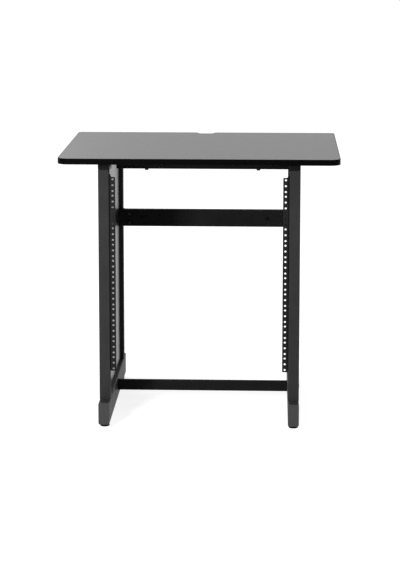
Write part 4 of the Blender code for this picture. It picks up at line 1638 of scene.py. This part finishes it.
@dataclass
class Studio:
    """The pale floor, the white surroundings, the lamps and the camera.

    Attributes:
        floor_size: the length of the floor's sides.
        floor_colour: the floor's own colour.
        glow: the light that the floor adds where it is seen, so that it shows white.
        seen_diffuse: the floor's colour where it is seen, which keeps the shadow.
        ambient: the strength of the light from the surroundings.
        lights: the lamps.
        camera_place: where the camera is.
        camera_turn: how far it turns to the left and down, in degrees.
        sensor: the width of its sensor in millimetres.
        focal_length: the focal length in pixels of the photograph.
        image_height: the height of the photograph in pixels, its long side.
        shift: how far the lens is shifted, as a share of the long side.
    """

    floor_size: float = 60.0
    floor_colour: float = 0.8
    glow: float = 0.80
    seen_diffuse: float = 0.8
    ambient: float = 0.30
    lights: tuple[SoftLight, ...] = (
        SoftLight("key_light", (-1.12, -2.65, 1.2), 0.4, 44.0),
        SoftLight("fill_light", (3.8, -1.6, 2.6), 2.5, 30.0),
        SoftLight("rear_light", (-2.0, 3.6, 3.0), 2.5, 40.0),
    )
    camera_place: Point = (0.197, -5.323, 1.415)
    camera_turn: Span = (2.23, 8.85)
    sensor: float = 36.0
    focal_length: float = 1914.0
    image_height: float = 570.0
    shift: Span = (0.002, -0.15)

    @staticmethod
    def where_seen(graph: NodeGraph, hidden: Socket, shown: Socket) -> Socket:
        """Return one shader where it is seen, reflected or seen through glass, and else another.

        Args:
            graph: the nodes of a material or the world.
            hidden: the shader that gives light to the table.
            shown: the shader that is seen.

        Returns:
            The mixed shader's socket.
        """
        path = graph.add("LightPath")
        seen = path.outputs["Is Camera Ray"]
        for name in ("Is Glossy Ray", "Is Transmission Ray"):
            either = graph.add("Math", {0: seen, 1: path.outputs[name]})
            either.operation = "MAXIMUM"
            seen = either.outputs["Value"]
        return graph.add("MixShader", {"Fac": seen, 1: hidden, 2: shown}).outputs["Shader"]

    def add_world(self) -> None:
        """Surround the table with white that lights it softly."""
        world = bpy.data.worlds.new("white_studio")
        bpy.context.scene.world = world
        world.use_nodes = True
        graph = NodeGraph(world.node_tree)
        graph.tree.nodes.clear()
        white = (1.0, 1.0, 1.0, 1.0)
        hidden, shown = (
            graph.add("Background", {"Color": white, "Strength": strength}).outputs["Background"]
            for strength in (self.ambient, 1.0)
        )
        graph.add("OutputWorld", {"Surface": self.where_seen(graph, hidden, shown)})
        world.cycles.sampling_method = "NONE"

    def floor_material(self) -> bpy.types.Material:
        """Make the floor's material: plain diffuse, and white where it is seen unshadowed.

        Returns:
            The material.
        """
        material = bpy.data.materials.new("pale_floor")
        material.use_nodes = True
        graph = NodeGraph(material.node_tree)
        graph.tree.nodes.clear()
        hidden, shaded = (
            graph.add("BsdfDiffuse", {"Color": (*grey(value), 1.0)}).outputs["BSDF"]
            for value in (self.floor_colour, self.seen_diffuse)
        )
        glow = graph.add("Emission", {"Strength": self.glow}).outputs["Emission"]
        shown = graph.add("AddShader", {0: shaded, 1: glow}).outputs["Shader"]
        graph.add("OutputMaterial", {"Surface": self.where_seen(graph, hidden, shown)})
        return material

    def add_floor(self) -> None:
        """Lay the floor under the table; it gives way to a foot that is screwed out."""
        mesh = bmesh.new()
        level = Matrix.Translation((0, 0, CAD_BOX[0].z))
        half = self.floor_size / 2
        bmesh.ops.create_grid(mesh, x_segments=1, y_segments=1, size=half, matrix=level)
        data = bpy.data.meshes.new("studio_floor")
        mesh.to_mesh(data)
        mesh.free()
        data.materials.append(self.floor_material())
        floor = bpy.data.objects.new("studio_floor", data)
        bpy.context.scene.collection.objects.link(floor)
        for side in Side:
            for end in End:
                below_foot = floor.constraints.new("FLOOR")
                below_foot.target = frame["bodies"][f"{side.word}_{end.word}_glide"]
                below_foot.floor_location = "FLOOR_NEGATIVE_Z"

    def add_camera(self) -> None:
        """Put the camera where the photograph was taken from."""
        yaw, pitch = (math.radians(turn) for turn in self.camera_turn)
        data = bpy.data.cameras.new("photo_camera")
        data.sensor_width = self.sensor
        data.lens = self.sensor * self.focal_length / self.image_height
        data.shift_x, data.shift_y = self.shift
        data.clip_end = self.floor_size
        camera = bpy.data.objects.new("photo_camera", data)
        level = Vector((-math.sin(yaw), math.cos(yaw), 0)) * math.cos(pitch)
        camera.location = self.camera_place
        camera.rotation_euler = (level - UP * math.sin(pitch)).to_track_quat("-Z", "Y").to_euler()
        bpy.context.scene.collection.objects.link(camera)
        bpy.context.scene.camera = camera

    def build(self) -> None:
        """Make the whole studio."""
        self.add_world()
        self.add_floor()
        for light in self.lights:
            light.build((CAD_BOX[0] + CAD_BOX[1]) / 2)
        self.add_camera()
        bpy.context.scene.view_settings.view_transform = "Standard"


def main() -> None:
    """Build and dress the whole table, then the studio round it."""
    logging.basicConfig(level=logging.INFO, format="%(message)s")
    TableTop().build()
    Crossbars().build()
    for side in Side:
        SideFrame(side).build()
        RackRail(side).build()
        for end in End:
            Leveller(side, end).build()
    Studio().build()


if __name__ == "__main__":
    main()
